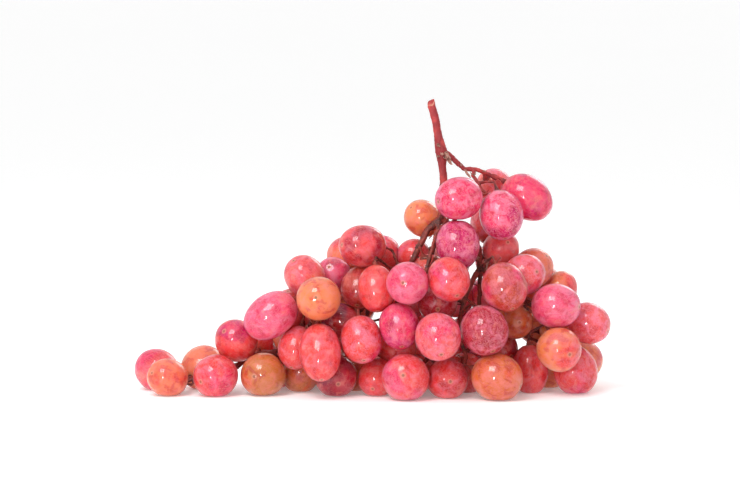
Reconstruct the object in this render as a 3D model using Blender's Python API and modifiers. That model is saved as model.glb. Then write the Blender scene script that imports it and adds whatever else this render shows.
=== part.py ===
"""A bunch of table grapes at rest: berries on one branched, woody stem.

Metres, +Z up, but the sizes and the layout below are written in millimetres. The heap of
berries lies along X, its front faces -Y, and the stalk stands up from it. The origin is the
middle of the bottom of the bounding box.

The layout gives each berry a home and each branch of the stem a route. The berries then
settle: they push each other, the floor and the stem apart until nothing overlaps, while the
footstalks bend round whatever lies between a branch and its berry. Any size may change, and
the bunch settles again.
"""

from collections import namedtuple

import bmesh
import bpy
import numpy as np
from mathutils import Vector

MM = 0.001

# Overall sizes, in millimetres. The layout is drawn for the sizes in LAYOUT_BOX and BERRY_DRAWN.
BUNCH_LENGTH = 236.0
BUNCH_DEPTH = 104.0
BUNCH_HEIGHT = 148.0
BERRY_DIAMETER = 22.0
LAYOUT_BOX = np.array((236.0, 104.0, 148.0))
BERRY_DRAWN = 22.0

# The berries.
BERRY_LENGTH_RATIO = 1.08  # length over width, where the layout gives no length
BERRY_SEGMENTS = 10
BERRY_RINGS = 7
FLOOR_PRESS = 0.7  # how far a berry's round bottom is pressed flat by the floor
JOINED_PRESS = 2.0  # how far the berries of one cluster are pressed into each other

# The stem.
STALK_DIAMETER = 4.3
STALK_KNOT_DIAMETER = 6.4
SHOULDER_DIAMETER = 3.6  # a main branch where it leaves the stalk
TWIG_DIAMETER = 2.0  # a branch at its far end
FOOTSTALK_DIAMETER = 1.7
RECEPTACLE_DIAMETER = 3.6  # the swollen end of a footstalk, against its berry
RECEPTACLE_LENGTH = 2.2
FOOTSTALK_LENGTH = 6.0  # the least distance from a branch to a berry's stem end
BRANCH_STEP = 9.0  # spacing of the points along a branch
FOOTSTALK_STEP = 11.0  # spacing of the bends along a footstalk
STALK_ROUNDNESS = 2  # bevel resolution of the stalk and the branches that stay: 8 sides
TWIG_ROUNDNESS = 1  # bevel resolution of the other branches and the footstalks: 6 sides

STEM_VOXEL = 0.35  # the tubes grow together at this fineness
STEM_TRIANGLES = 6000

# Clearances.
WELD = 0.01 * MM  # points of one mesh closer than this are one
GAP = 0.3  # between any two solids that touch
FLOOR_GAP = 0.5  # from the stem to the floor

# Settling.
SETTLE_STEPS = 1600
HOME_STEPS = 1000  # the steps in which the homes still pull
REFRESH_EVERY = 20
NEAR = 8.0  # solids closer than this are watched until the next refresh
RELAX = 0.35  # the share of an overlap that one step mends
HOME_PULL = 0.03  # of the way back to a berry's home, at each step
SMOOTHING = 0.02  # of the way to the middle of its neighbours, for a free point of the stem
EARLY_SMOOTHING = 0.08  # the same, on top, while the homes pull
STRAIGHTENING = 0.1  # of the way to where a footstalk leaves its berry straight
PULL_OUT = 0.6  # how long that straight end is, in footstalk lengths
FRONT_FREEDOM = (0.25, 0.6, 0.25)  # how far a berry of the front gives way along X, Y and Z
RESTING_FREEDOM = 0.02  # how far a berry that rests gives way upwards
PUSHED_BY_STEM = 0.35  # how far a berry gives way to the stem, beside how far it could
RESTS_BELOW = 1.8  # a berry drawn with less than this under it rests on the floor
SHORT_STALK_COST = 3.0  # what a missing millimetre of footstalk counts, beside one of distance
MOST_BENDS = 4
TINY = 1e-6
FLOOR_THICKNESS = 0.1  # of the cutter under the floor, in metres

COLOURS = {
    "rose": ((0.62, 0.13, 0.17, 1.0), 0.22),
    "crimson": ((0.36, 0.03, 0.06, 1.0), 0.26),
    "coral": ((0.66, 0.17, 0.09, 1.0), 0.20),
    "amber": ((0.68, 0.33, 0.08, 1.0), 0.18),
    "stem": ((0.20, 0.09, 0.04, 1.0), 0.62),
}

Berry = namedtuple("Berry", "home width length colour tip")
Branch = namedtuple("Branch", "name parent start end stays route")


def berry(x, y, z, width, colour, length=None, tip=None):
    """A berry's home, size and colour; tip is the way its blossom end points, if it is drawn."""
    length = length or width * BERRY_LENGTH_RATIO
    return Berry((x, y, z), width, length, colour, tip)


# The berries that stand alone, from the tail at -X to the far end.
SINGLES = [
    berry(-107.8, -9, 10.8, 21.0, "rose"),
    berry(-101.1, -32, 9.6, 19.0, "coral"),
    berry(-84.4, -5, 11.0, 22.0, "coral"),
    berry(-76.9, -33, 10.5, 21.0, "coral"),
    berry(-66.2, -22, 27.0, 20.6, "rose", tip=(-0.5, -0.7, 0.5)),
    berry(-52.0, -30, 11.0, 21.8, "amber", tip=(-0.35, -0.93, 0.05)),
    berry(-48.5, -25, 39.0, 21.6, "rose", length=28.5, tip=(-0.8, -0.15, -0.55)),
    berry(-39.0, -10, 38.5, 19.5, "coral", tip=(-0.2, -0.3, 0.9)),
    berry(-36.5, -30, 22.4, 18.0, "rose", length=22.0, tip=(-0.2, -0.5, -0.8)),
    berry(-24.0, -42, 26.5, 20.4, "coral", length=29.5, tip=(0.05, -0.55, -0.83)),
    berry(-17.4, -36, 10.5, 20.4, "crimson", tip=(0.1, -0.9, -0.2)),
    berry(-25.0, -38, 47.0, 21.6, "amber", tip=(-0.1, -0.97, 0.15)),
    berry(-31.0, -13, 57.5, 19.5, "coral", tip=(-0.5, -0.4, 0.75)),
    berry(-18.5, -3, 56.0, 18.0, "rose", tip=(-0.2, -0.8, 0.5)),
    berry(-3.0, -20, 70.0, 21.0, "crimson", length=23.5, tip=(-0.8, -0.5, 0.1)),
    berry(-6.2, -19, 51.2, 18.5, "coral", length=21.5, tip=(-0.1, -0.6, -0.75)),
    berry(4.0, -34, 54.0, 18.6, "coral", length=23.5, tip=(0.05, -0.45, -0.9)),
    berry(18.8, -47, 58.2, 20.4, "rose", tip=(-0.2, -0.9, 0.1)),
    berry(39.4, -46, 60.0, 20.2, "rose", length=22.5, tip=(0.35, -0.7, -0.65)),
    berry(28.0, -5, 86.5, 18.0, "amber", tip=(-0.6, -0.5, 0.6)),
    berry(-3.4, -43, 29.7, 20.4, "coral", length=24.0, tip=(0.1, -0.6, -0.8)),
    berry(15.8, -46, 36.6, 19.4, "crimson", length=23.5, tip=(0.1, -0.6, -0.8)),
    berry(33.3, -54, 32.5, 22.2, "rose", length=24.0, tip=(0.1, -0.75, -0.6)),
    berry(58.5, -48, 36.4, 22.8, "crimson", length=25.0, tip=(0.3, -0.6, -0.75)),
    berry(68.0, -40, 54.6, 22.0, "coral", length=24.5, tip=(0.3, -0.5, -0.8)),
    berry(44.8, -30, 76.9, 21.4, "crimson", length=25.0, tip=(0.1, -0.5, -0.85)),
    berry(45.0, -27, 98.0, 21.2, "rose", length=24.0, tip=(-0.85, -0.5, -0.1)),
    berry(67.2, -22, 90.5, 21.2, "crimson", length=24.8, tip=(0.15, -0.4, -0.9)),
    berry(79.0, -8, 97.8, 21.4, "rose", length=27.0, tip=(0.8, -0.2, -0.56)),
    berry(65.8, -10, 71.7, 18.0, "coral", tip=(0.3, -0.8, 0.4)),
    berry(77.5, -26, 60.0, 20.0, "coral", tip=(0.5, -0.8, 0.2)),
    berry(84.6, -9, 59.6, 20.0, "rose", tip=(0.6, -0.4, 0.6)),
    berry(93.6, -35, 45.5, 21.6, "coral", length=24.0, tip=(0.93, -0.35, 0.0)),
    berry(94.8, -42, 24.4, 21.5, "amber", tip=(0.4, -0.9, -0.1)),
    berry(110.8, -18, 34.9, 20.2, "coral", length=22.0, tip=(0.8, -0.4, -0.3)),
    berry(104.2, -22, 12.2, 21.4, "rose", length=24.4, tip=(0.2, -0.25, -0.95)),
    berry(81.5, -20, 12.2, 17.8, "crimson", length=24.6, tip=(0.05, -0.2, -0.97)),
    berry(77.0, -20, 36.2, 18.5, "amber", tip=(0.2, -0.9, 0.0)),
    berry(63.0, -48, 12.2, 23.6, "amber", length=25.2, tip=(0.87, -0.3, -0.3)),
    berry(42.5, -42, 10.7, 20.4, "coral", tip=(0.1, -0.95, 0.0)),
    berry(19.0, -47, 12.2, 23.4, "coral", tip=(-0.1, -0.9, 0.2)),
    berry(4.5, -31, 10.2, 18.8, "coral", tip=(-0.2, -0.8, -0.4)),
    berry(34.3, -33, 46.2, 19.5, "crimson", tip=(0.0, -0.9, -0.2)),
    berry(-10.0, -13, 40.5, 18.5, "crimson"),
]

# The berries of the middle and the back, pressed together in twos, threes and fours.
CLUSTERS = [
    [
        berry(-49, 0, 17.5, 19, "crimson"),
        berry(-46, 17, 10.5, 20, "rose"),
        berry(-52, 7, 27, 18, "coral"),
    ],
    [
        berry(-43, 0, 28, 19, "rose"),
        berry(-32, 14, 28, 21, "coral"),
    ],
    [
        berry(-27, 15, 10.5, 21, "rose"),
        berry(-15, 14, 28, 21, "coral"),
        berry(-7, 19, 10.5, 21, "rose"),
    ],
    [
        berry(-13.4, 11, 65.0, 19.6, "coral"),
        berry(-4, 13, 48, 21, "rose"),
        berry(2, 0, 38, 18, "crimson"),
        berry(-27, 9, 44, 21, "coral"),
    ],
    [
        berry(10, -22, 23, 19, "crimson"),
        berry(27, -19, 10, 19, "crimson"),
    ],
    [
        berry(31, -9, 59, 18, "crimson"),
        berry(24, -17, 45, 19, "crimson"),
        berry(19, 5, 46, 21, "coral"),
        berry(31, 14, 29, 21, "rose"),
    ],
    [
        berry(7, 4, 67, 19.5, "rose"),
        berry(22.5, 1, 67.5, 16.0, "rose"),
    ],
    [
        berry(52, -25, 10, 20, "crimson"),
        berry(39, -5, 10.5, 21, "rose"),
        berry(19, 7, 10.5, 21, "coral"),
    ],
    [
        berry(71, -11, 23, 19, "crimson"),
        berry(67, 4, 11, 20, "crimson"),
    ],
    [
        berry(101.4, -3, 31, 19, "crimson"),
        berry(86, 12, 28, 21, "rose"),
        berry(84, 12, 47, 21, "coral"),
        berry(94.0, -8, 56.0, 16.5, "amber"),
    ],
    [
        berry(42, 19, 12, 21, "rose"),
        berry(52, 11, 28, 21, "coral"),
        berry(59, 21, 10.5, 21, "rose"),
    ],
    [
        berry(42, 13, 60, 20, "coral"),
        berry(43, 12, 44, 20, "rose"),
        berry(63, 14, 45, 21, "coral"),
        berry(65, 13, 62, 20, "crimson"),
    ],
    [
        berry(63, 9, 84, 21, "rose"),
        berry(67, 4, 101.5, 18.0, "coral"),
    ],
    [
        berry(108.5, 2, 14.5, 20, "coral"),
        berry(92.6, -2, 9.5, 19, "crimson"),
        berry(88, 17, 10.5, 21, "rose"),
    ],
    [
        berry(-33.8, -18, 9.8, 19, "amber"),
        berry(-24, -1, 12, 20, "crimson"),
        berry(-7, -14, 10, 19, "coral"),
    ],
]

# The stem: (x, y, z) points from where a branch leaves its parent to its far end. A branch
# that stays is where it is drawn; the others give way to the berries.
STALK = Branch(
    "stalk", None, STALK_DIAMETER, SHOULDER_DIAMETER + 0.4, True,
    [(31, -8, 147.6), (33.5, -9, 138.6), (36.5, -10, 122), (38, -11, 106.3), (36.5, -12, 88)],
)
BRANCHES = [
    Branch("left_shoulder", "stalk", SHOULDER_DIAMETER, SHOULDER_DIAMETER - 0.6, True, [
        (30, -13, 82), (25.5, -14, 73.5), (22.5, -15, 67), (17, -13, 58),
    ]),
    Branch("left_arm", "left_shoulder", SHOULDER_DIAMETER - 0.6, TWIG_DIAMETER, False, [
        (8, -10, 46), (-4, -7, 36), (-18, -8, 31), (-33, -10, 28), (-46, -14, 24),
        (-56, -17, 20), (-66, -19, 13), (-78, -20, 5), (-88, -20, 3.5), (-94, -20, 5),
    ]),
    Branch("right_arm", "stalk", SHOULDER_DIAMETER, TWIG_DIAMETER, True, [
        (42, -10, 83), (50, -9, 79), (56, -11, 72), (56, -16, 63), (50, -20, 52),
        (46, -28, 40), (46, -34, 28), (49, -38, 20),
    ]),
    Branch("wing", "stalk", SHOULDER_DIAMETER - 0.6, TWIG_DIAMETER, True, [
        (41, -10, 119.5), (44.5, -10, 116), (48.5, -10, 112.5), (54, -9, 112.5), (60, -7, 110),
        (65, -5, 107),
    ]),
    Branch("wing_fork", "wing", TWIG_DIAMETER, TWIG_DIAMETER, True, [
        (52.5, -11, 109.5), (55, -13, 106), (57, -15, 102),
    ]),
    Branch("right_shoulder", "right_arm", TWIG_DIAMETER + 0.6, TWIG_DIAMETER, False, [
        (66, -16, 50), (77, -14, 46), (88, -14, 42),
    ]),
    Branch("right_tail", "right_shoulder", TWIG_DIAMETER + 0.4, TWIG_DIAMETER, False, [
        (84, -22, 34), (90, -24, 26), (96, -20, 18),
    ]),
    Branch("left_middle", "left_arm", TWIG_DIAMETER + 0.4, TWIG_DIAMETER, False, [
        (6, -16, 36), (1, -22, 26), (-2, -24, 18),
    ]),
    Branch("left_low", "left_arm", TWIG_DIAMETER, TWIG_DIAMETER, False, [
        (-28, -18, 24), (-25, -24, 16),
    ]),
    Branch("left_peak", "left_arm", TWIG_DIAMETER, TWIG_DIAMETER, False, [
        (0, -6, 54), (-10, -6, 52),
    ]),
    Branch("front_shoulder", "stalk", TWIG_DIAMETER + 0.4, TWIG_DIAMETER, False, [
        (34, -18, 76), (30, -26, 67), (28, -30, 60),
    ]),
    Branch("front_low", "right_arm", TWIG_DIAMETER, TWIG_DIAMETER, False, [
        (36, -32, 28), (31, -34, 20),
    ]),
    Branch("back_left", "stalk", TWIG_DIAMETER + 0.6, TWIG_DIAMETER, False, [
        (36, 2, 72), (32, 4, 58), (30, 2, 44), (12, 0, 34), (0, 2, 26), (-12, 4, 18),
    ]),
    Branch("back_right", "right_arm", TWIG_DIAMETER + 0.6, TWIG_DIAMETER, False, [
        (58, -1, 66), (66, 2, 52), (66, 4, 36), (54, 0, 22),
    ]),
    Branch("back_tail", "back_right", TWIG_DIAMETER + 0.2, TWIG_DIAMETER, False, [
        (80, 2, 36), (90, 2, 22),
    ]),
    Branch("tail_fork", "left_arm", TWIG_DIAMETER, TWIG_DIAMETER, False, [
        (-52, -4, 20), (-54, 0, 18),
    ]),
]


def unit(vectors):
    """Vectors of length one along the last axis."""
    return vectors / np.maximum(np.linalg.norm(vectors, axis=-1, keepdims=True), TINY)


def half_extent(direction, tip, half_width, half_length):
    """How far an ellipsoid of revolution reaches from its centre along a direction."""
    along = np.sum(direction * tip, axis=-1)
    return np.sqrt(half_width**2 * (1 - along**2) + half_length**2 * along**2)


class Stem:
    """The stem as a tree of points, each with its parent, its radius and its freedom to move."""

    def __init__(self):
        self.place, self.parent, self.radius, self.freedom = [], [], [], []
        self.follows = []  # the next point of the same branch, or -1
        self.branches = {}

    def add(self, place, parent, radius, freedom):
        self.place.append(np.array(place, float))
        self.parent.append(parent)
        self.radius.append(radius)
        self.freedom.append(freedom)
        self.follows.append(-1)
        return len(self.place) - 1

    def add_branch(self, branch, stretch):
        """A route made even, from the nearest point of its parent to its far end."""
        route = [np.array(p, float) * stretch for p in branch.route]
        trail = []
        if branch.parent:
            mates = self.branches[branch.parent]
            root = min(mates, key=lambda k: np.linalg.norm(self.place[k] - route[0]))
            route.insert(0, self.place[root])
            trail.append(root)
        runs = [np.linalg.norm(b - a) for a, b in zip(route, route[1:])]
        for run, (a, b) in zip(runs, zip(route, route[1:])):
            if not trail:
                trail.append(self.add(a, -1, branch.start / 2, 0.0))
            pieces = max(1, round(run / BRANCH_STEP))
            for i in range(1, pieces + 1):
                k = self.add(a + (b - a) * i / pieces, trail[-1], 0.0, 0.0 if branch.stays else 1.0)
                trail.append(k)
        own = trail[1:] if branch.parent else trail
        for i, k in enumerate(own):
            share = i / max(1, len(own) - 1)
            self.radius[k] = (branch.start + (branch.end - branch.start) * share) / 2
        for a, b in zip(own, own[1:]):
            self.follows[a] = b
        self.branches[branch.name] = own

    def freeze(self):
        self.place = np.array(self.place)
        self.parent = np.array(self.parent)
        self.radius = np.array(self.radius)
        self.freedom = np.array(self.freedom)
        self.follows = np.array(self.follows)


class Bunch:
    """The berries and the stem, and how they settle."""

    def __init__(self):
        self.stretch = np.array((BUNCH_LENGTH, BUNCH_DEPTH, BUNCH_HEIGHT)) / LAYOUT_BOX
        grow = BERRY_DIAMETER / BERRY_DRAWN
        self.groups = [[b] for b in SINGLES] + CLUSTERS
        rows = [b for group in self.groups for b in group]
        self.home = np.array([b.home for b in rows]) * self.stretch
        self.half_width = np.array([b.width for b in rows]) / 2 * grow
        self.half_length = np.array([b.length for b in rows]) / 2 * grow
        self.rests = np.array([b.home[2] <= b.width / 2 + RESTS_BELOW for b in rows])
        self.centre = self.home.copy()
        self.count = len(rows)
        # A berry of the front moves little to the side, more in depth; the others move freely.
        alone = np.arange(self.count) < len(SINGLES)
        self.freedom = np.where(alone[:, None], FRONT_FREEDOM, (1.0, 1.0, 1.0))
        self.freedom[self.rests, 2] = RESTING_FREEDOM
        self.joined = self.join_pairs()
        self.stem = Stem()
        for branch in [STALK] + BRANCHES:
            self.stem.add_branch(branch, self.stretch)
        self.swell_knot()
        self.tip = self.choose_tips(rows)
        self.footstalks = [self.add_footstalk(i) for i in range(self.count)]
        self.stem.freeze()
        self.stem_home = self.stem.place.copy()

    def join_pairs(self):
        """The neighbours within each cluster, as pairs of berry numbers."""
        pairs, first = [], 0
        for group in self.groups:
            pairs += [(first + i, first + i + 1) for i in range(len(group) - 1)]
            first += len(group)
        return np.array(pairs)

    def swell_knot(self):
        """The stalk's knot, where the old side shoots were: its nearest point is thicker."""
        knot = np.array(STALK.route[2]) * self.stretch
        k = min(self.stem.branches["stalk"], key=lambda j: np.linalg.norm(self.stem.place[j] - knot))
        self.stem.radius[k] = STALK_KNOT_DIAMETER / 2

    def root_for(self, i, end):
        """The branch point nearest to a berry's stem end that leaves room for a footstalk."""
        best, best_cost = 0, np.inf
        for name, points in self.stem.branches.items():
            for k in points:
                if name == "stalk" and k != points[-1]:
                    continue
                place = self.stem.place[k]
                room = np.linalg.norm(place - self.centre[i]) - self.half_length[i]
                short = max(0.0, FOOTSTALK_LENGTH - room)
                cost = np.linalg.norm(place - end) + SHORT_STALK_COST * short
                if cost < best_cost:
                    best, best_cost = k, cost
        return best

    def choose_tips(self, rows):
        """Where each berry's blossom end points: as drawn, or away from the nearest branch."""
        self.roots = []
        tips = np.zeros((self.count, 3))
        for i, row in enumerate(rows):
            if row.tip:
                tips[i] = unit(np.array(row.tip))
                self.roots.append(self.root_for(i, self.centre[i] - tips[i] * self.half_length[i]))
            else:
                root = self.root_for(i, self.centre[i])
                tips[i] = unit(self.centre[i] - self.stem.place[root])
                self.roots.append(root)
        return tips

    def add_footstalk(self, i):
        """The points of one footstalk, from its branch to the receptacle on its berry."""
        stem, root = self.stem, self.roots[i]
        seat, collar = self.seats(i)
        pull_out = collar - self.tip[i] * FOOTSTALK_LENGTH * PULL_OUT
        run = np.linalg.norm(pull_out - stem.place[root])
        pieces = int(np.clip(round(run / FOOTSTALK_STEP), 1, MOST_BENDS))
        trail = [root]
        for j in range(1, pieces + 1):
            place = stem.place[root] + (pull_out - stem.place[root]) * j / pieces
            trail.append(stem.add(place, trail[-1], FOOTSTALK_DIAMETER / 2, 1.0))
        for place, radius in ((collar, FOOTSTALK_DIAMETER / 2), (seat, RECEPTACLE_DIAMETER / 2)):
            trail.append(stem.add(place, trail[-1], radius, 1.0))
        for a, b in zip(trail[1:], trail[2:]):
            stem.follows[a] = b
        return trail

    def seats(self, i):
        """Where a berry holds its footstalk: the receptacle's face, and its collar behind it."""
        seat = self.centre[i] - self.tip[i] * (self.half_length[i] + GAP)
        return seat, seat - self.tip[i] * RECEPTACLE_LENGTH

    def bind(self):
        """Footstalks end where their berries are."""
        reach = self.half_length + GAP
        self.stem.place[self.seat_points] = self.centre - self.tip * reach[:, None]
        collar = self.centre - self.tip * (reach + RECEPTACLE_LENGTH)[:, None]
        self.stem.place[self.collar_points] = collar

    def settle(self):
        """Push everything apart, a little at a time, until nothing overlaps."""
        stem = self.stem
        self.seat_points = np.array([trail[-1] for trail in self.footstalks])
        self.collar_points = np.array([trail[-2] for trail in self.footstalks])
        self.bend_points = np.array([trail[-3] for trail in self.footstalks])
        bendable = np.array([len(trail) > 3 for trail in self.footstalks])
        owner = np.full(len(stem.place), -1)
        owner[self.seat_points] = np.arange(self.count)
        owner[self.collar_points] = np.arange(self.count)
        free = (stem.freedom > 0) & (owner < 0)
        between = np.flatnonzero(free & (stem.follows >= 0))
        branch_points = np.flatnonzero(free & (np.arange(len(free)) < self.footstalks[0][1]))
        edges = np.flatnonzero(stem.parent >= 0)
        for step in range(SETTLE_STEPS):
            pull = max(0.0, 1 - step / HOME_STEPS)
            if step % REFRESH_EVERY == 0:
                pairs = self.near_pairs()
                touches = self.near_touches(edges, owner)
            self.centre += HOME_PULL * pull * (self.home - self.centre)
            self.push_berries(pairs)
            self.pull_joined()
            self.drop()
            self.bind()
            middle = (stem.place[stem.parent[between]] + stem.place[stem.follows[between]]) / 2
            evening = SMOOTHING + EARLY_SMOOTHING * pull
            stem.place[between] += evening * (middle - stem.place[between])
            homewards = self.stem_home[branch_points] - stem.place[branch_points]
            stem.place[branch_points] += SMOOTHING * pull * homewards
            straight_end = GAP + RECEPTACLE_LENGTH + FOOTSTALK_LENGTH * PULL_OUT
            straight = self.centre - self.tip * (self.half_length + straight_end)[:, None]
            bends = self.bend_points[bendable]
            stem.place[bends] += STRAIGHTENING * (straight[bendable] - stem.place[bends])
            self.push_stem(touches, owner)
            low = stem.radius + FLOOR_GAP
            stem.place[free, 2] = np.maximum(stem.place[free, 2], low[free])
            self.drop()
            self.bind()
        self.rests |= self.centre[:, 2] < self.height() + GAP
        self.drop()
        self.bind()

    def near_pairs(self):
        """Pairs of berries close enough to meet soon."""
        i, j = np.triu_indices(self.count, 1)
        apart = np.linalg.norm(self.centre[i] - self.centre[j], axis=1)
        close = apart < self.half_length[i] + self.half_length[j] + NEAR
        joined = {tuple(pair) for pair in self.joined}
        keep = [k for k in np.flatnonzero(close) if (i[k], j[k]) not in joined]
        return i[keep], j[keep]

    def near_touches(self, edges, owner):
        """Stem pieces and berries close enough to meet soon, but for a berry's own seat."""
        stem = self.stem
        start, end = stem.place[stem.parent[edges]], stem.place[edges]
        middle, reach = (start + end) / 2, np.linalg.norm(end - start, axis=1) / 2
        apart = np.linalg.norm(middle[:, None] - self.centre[None], axis=2)
        close = apart < reach[:, None] + self.half_length[None] + NEAR
        e, b = np.nonzero(close)
        own_seat = np.isin(edges[e], self.seat_points) & (owner[edges[e]] == b)
        return edges[e[~own_seat]], b[~own_seat]

    def push_berries(self, pairs):
        i, j = pairs
        apart = self.centre[j] - self.centre[i]
        distance = np.linalg.norm(apart, axis=1)
        way = unit(apart)
        need = self.reach(way, i) + self.reach(way, j) + GAP
        self.share(i, j, way, np.maximum(0.0, need - distance))

    def pull_joined(self):
        i, j = self.joined.T
        apart = self.centre[j] - self.centre[i]
        distance = np.linalg.norm(apart, axis=1)
        way = unit(apart)
        need = self.reach(way, i) + self.reach(way, j) - JOINED_PRESS
        self.share(i, j, way, need - distance)

    def reach(self, way, i):
        return half_extent(way, self.tip[i], self.half_width[i], self.half_length[i])

    def share(self, i, j, way, amount):
        """Move two sets of berries apart by an amount, each by its freedom."""
        step_i, step_j = way * self.freedom[i], way * self.freedom[j]
        give = np.sum(way * (step_i + step_j), axis=1)
        amount = (RELAX * amount / np.maximum(give, TINY))[:, None]
        np.add.at(self.centre, i, -amount * step_i)
        np.add.at(self.centre, j, amount * step_j)

    def drop(self):
        """Berries of the lowest layer rest on the floor; no other reaches it."""
        height = self.height()
        self.centre[self.rests, 2] = height[self.rests] - FLOOR_PRESS
        self.centre[:, 2] = np.maximum(self.centre[:, 2], height - FLOOR_PRESS)

    def height(self):
        """The height of each berry's centre over its lowest point."""
        return half_extent(np.array((0.0, 0.0, 1.0)), self.tip, self.half_width, self.half_length)

    def push_stem(self, touches, owner):
        """Push stem pieces and berries off each other."""
        stem = self.stem
        e, b = touches
        root = stem.parent[e]
        start, end = stem.place[root], stem.place[e]
        run = end - start
        length_squared = np.maximum(np.sum(run * run, axis=1), TINY)
        share = np.clip(np.sum((self.centre[b] - start) * run, axis=1) / length_squared, 0.0, 1.0)
        away = self.centre[b] - start - run * share[:, None]
        distance = np.linalg.norm(away, axis=1)
        way = unit(away)
        thick = stem.radius[root] * (1 - share) + stem.radius[e] * share
        overlap = np.maximum(0.0, self.reach(way, b) + thick + GAP - distance)
        step_b = way * self.freedom[b] * PUSHED_BY_STEM
        give = np.sum(way * step_b, axis=1)
        give += (1 - share) ** 2 * stem.freedom[root] + share**2 * stem.freedom[e]
        amount = (RELAX * overlap / np.maximum(give, TINY))[:, None]
        np.add.at(self.centre, b, amount * step_b)
        shift = np.zeros_like(stem.place)
        np.add.at(shift, root, -amount * way * ((1 - share) * stem.freedom[root])[:, None])
        np.add.at(shift, e, -amount * way * (share * stem.freedom[e])[:, None])
        bound = owner >= 0
        stem.place[~bound] += shift[~bound]
        np.add.at(self.centre, owner[bound], shift[bound] * self.freedom[owner[bound]])


def make_material(name):
    colour, roughness = COLOURS[name]
    material = bpy.data.materials.new(name)
    material.use_nodes = True
    shader = material.node_tree.nodes["Principled BSDF"]
    shader.inputs["Base Color"].default_value = colour
    shader.inputs["Roughness"].default_value = roughness
    shader.inputs["Metallic"].default_value = 0.0
    material.diffuse_color = colour
    return material


def make_collection(name):
    collection = bpy.data.collections.new(name)
    bpy.context.scene.collection.children.link(collection)
    return collection


def as_cutter(ob):
    ob.hide_render = True
    ob.display_type = "WIRE"


def make_berry(name, centre, tip, half_width, half_length, material, collection):
    """A berry: a round solid, a little longer than wide, its blossom end along +Z."""
    bm = bmesh.new()
    bmesh.ops.create_uvsphere(
        bm, u_segments=BERRY_SEGMENTS, v_segments=BERRY_RINGS, radius=half_width * MM
    )
    bmesh.ops.scale(bm, vec=(1.0, 1.0, half_length / half_width), verts=bm.verts)
    mesh = bpy.data.meshes.new(name)
    bm.to_mesh(mesh)
    bm.free()
    mesh.shade_smooth()
    mesh.materials.append(material)
    ob = bpy.data.objects.new(name, mesh)
    ob.location = Vector(centre) * MM
    ob.rotation_mode = "QUATERNION"
    ob.rotation_quaternion = Vector(tip).to_track_quat("Z", "Y")
    collection.objects.link(ob)
    return ob


def join(ob, other, operation):
    modifier = ob.modifiers.new(operation.title(), "BOOLEAN")
    modifier.operation = operation
    modifier.solver = "EXACT"
    modifier.object = other


def make_floor(cutters):
    """The space under the floor, which presses a flat patch on each berry that rests on it."""
    bpy.ops.mesh.primitive_cube_add(size=1.0, location=(0.0, 0.0, -FLOOR_THICKNESS / 2))
    floor = bpy.context.object
    floor.name = "under_floor"
    floor.scale = (1.0, 1.0, FLOOR_THICKNESS)
    for collection in floor.users_collection:
        collection.objects.unlink(floor)
    cutters.objects.link(floor)
    as_cutter(floor)
    return floor


def make_berries(bunch, parts, cutters):
    """One object for each berry that stands alone, and one for each cluster."""
    floor = make_floor(cutters)
    made, first = [], 0
    for number, group in enumerate(bunch.groups):
        if number < len(SINGLES):
            name = f"berry_{number + 1:02d}"
        else:
            name = f"cluster_{number - len(SINGLES) + 1:02d}"
        material = make_material(group[0].colour)
        material.name = f"{group[0].colour}_{name}"
        for i, row in enumerate(group, start=first):
            shape = (bunch.centre[i], bunch.tip[i], bunch.half_width[i], bunch.half_length[i])
            if i == first:
                ob = make_berry(name, *shape, material, parts)
            else:
                mate = make_berry(f"{name}_mate_{i - first}", *shape, material, cutters)
                as_cutter(mate)
                made.append(mate)
                join(ob, mate, "UNION")
        if bunch.rests[first : first + len(group)].any():
            join(ob, floor, "DIFFERENCE")
        made.append(ob)
        first += len(group)
    return made


def evaluated_mesh(ob):
    """The mesh of an object with its modifiers or its curve's bevel worked out."""
    bpy.context.view_layer.update()
    graph = bpy.context.evaluated_depsgraph_get()
    return bpy.data.meshes.new_from_object(ob.evaluated_get(graph))


def make_tube(name, points, radii, resolution):
    """A closed mesh tube through points, as thick as each point asks, its ends filled."""
    data = bpy.data.curves.new(name, "CURVE")
    data.dimensions = "3D"
    data.bevel_depth = MM
    data.bevel_resolution = resolution
    data.use_fill_caps = True
    spline = data.splines.new("POLY")
    spline.points.add(len(points) - 1)
    for spot, place, radius in zip(spline.points, points, radii):
        spot.co = (*(Vector(place) * MM), 1.0)
        spot.radius = radius
    curve = bpy.data.objects.new(name, data)
    bpy.context.scene.collection.objects.link(curve)
    mesh = evaluated_mesh(curve)
    bpy.data.objects.remove(curve)
    bpy.data.curves.remove(data)
    bm = bmesh.new()
    bm.from_mesh(mesh)
    bmesh.ops.remove_doubles(bm, verts=bm.verts, dist=WELD)
    bmesh.ops.recalc_face_normals(bm, faces=bm.faces)
    bm.to_mesh(mesh)
    bm.free()
    return bpy.data.objects.new(name, mesh)


def fill_pockets(bm):
    """Delete every shell but the largest: the small ones line pockets shut in between tubes."""
    shells, seen = [], set()
    for start in bm.faces:
        if start in seen:
            continue
        seen.add(start)
        shell, ahead = [], [start]
        while ahead:
            face = ahead.pop()
            shell.append(face)
            fresh = {mate for edge in face.edges for mate in edge.link_faces} - seen
            seen |= fresh
            ahead += fresh
        shells.append(shell)
    shells.sort(key=len)
    for shell in shells[:-1]:
        bmesh.ops.delete(bm, geom=shell, context="FACES")


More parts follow.
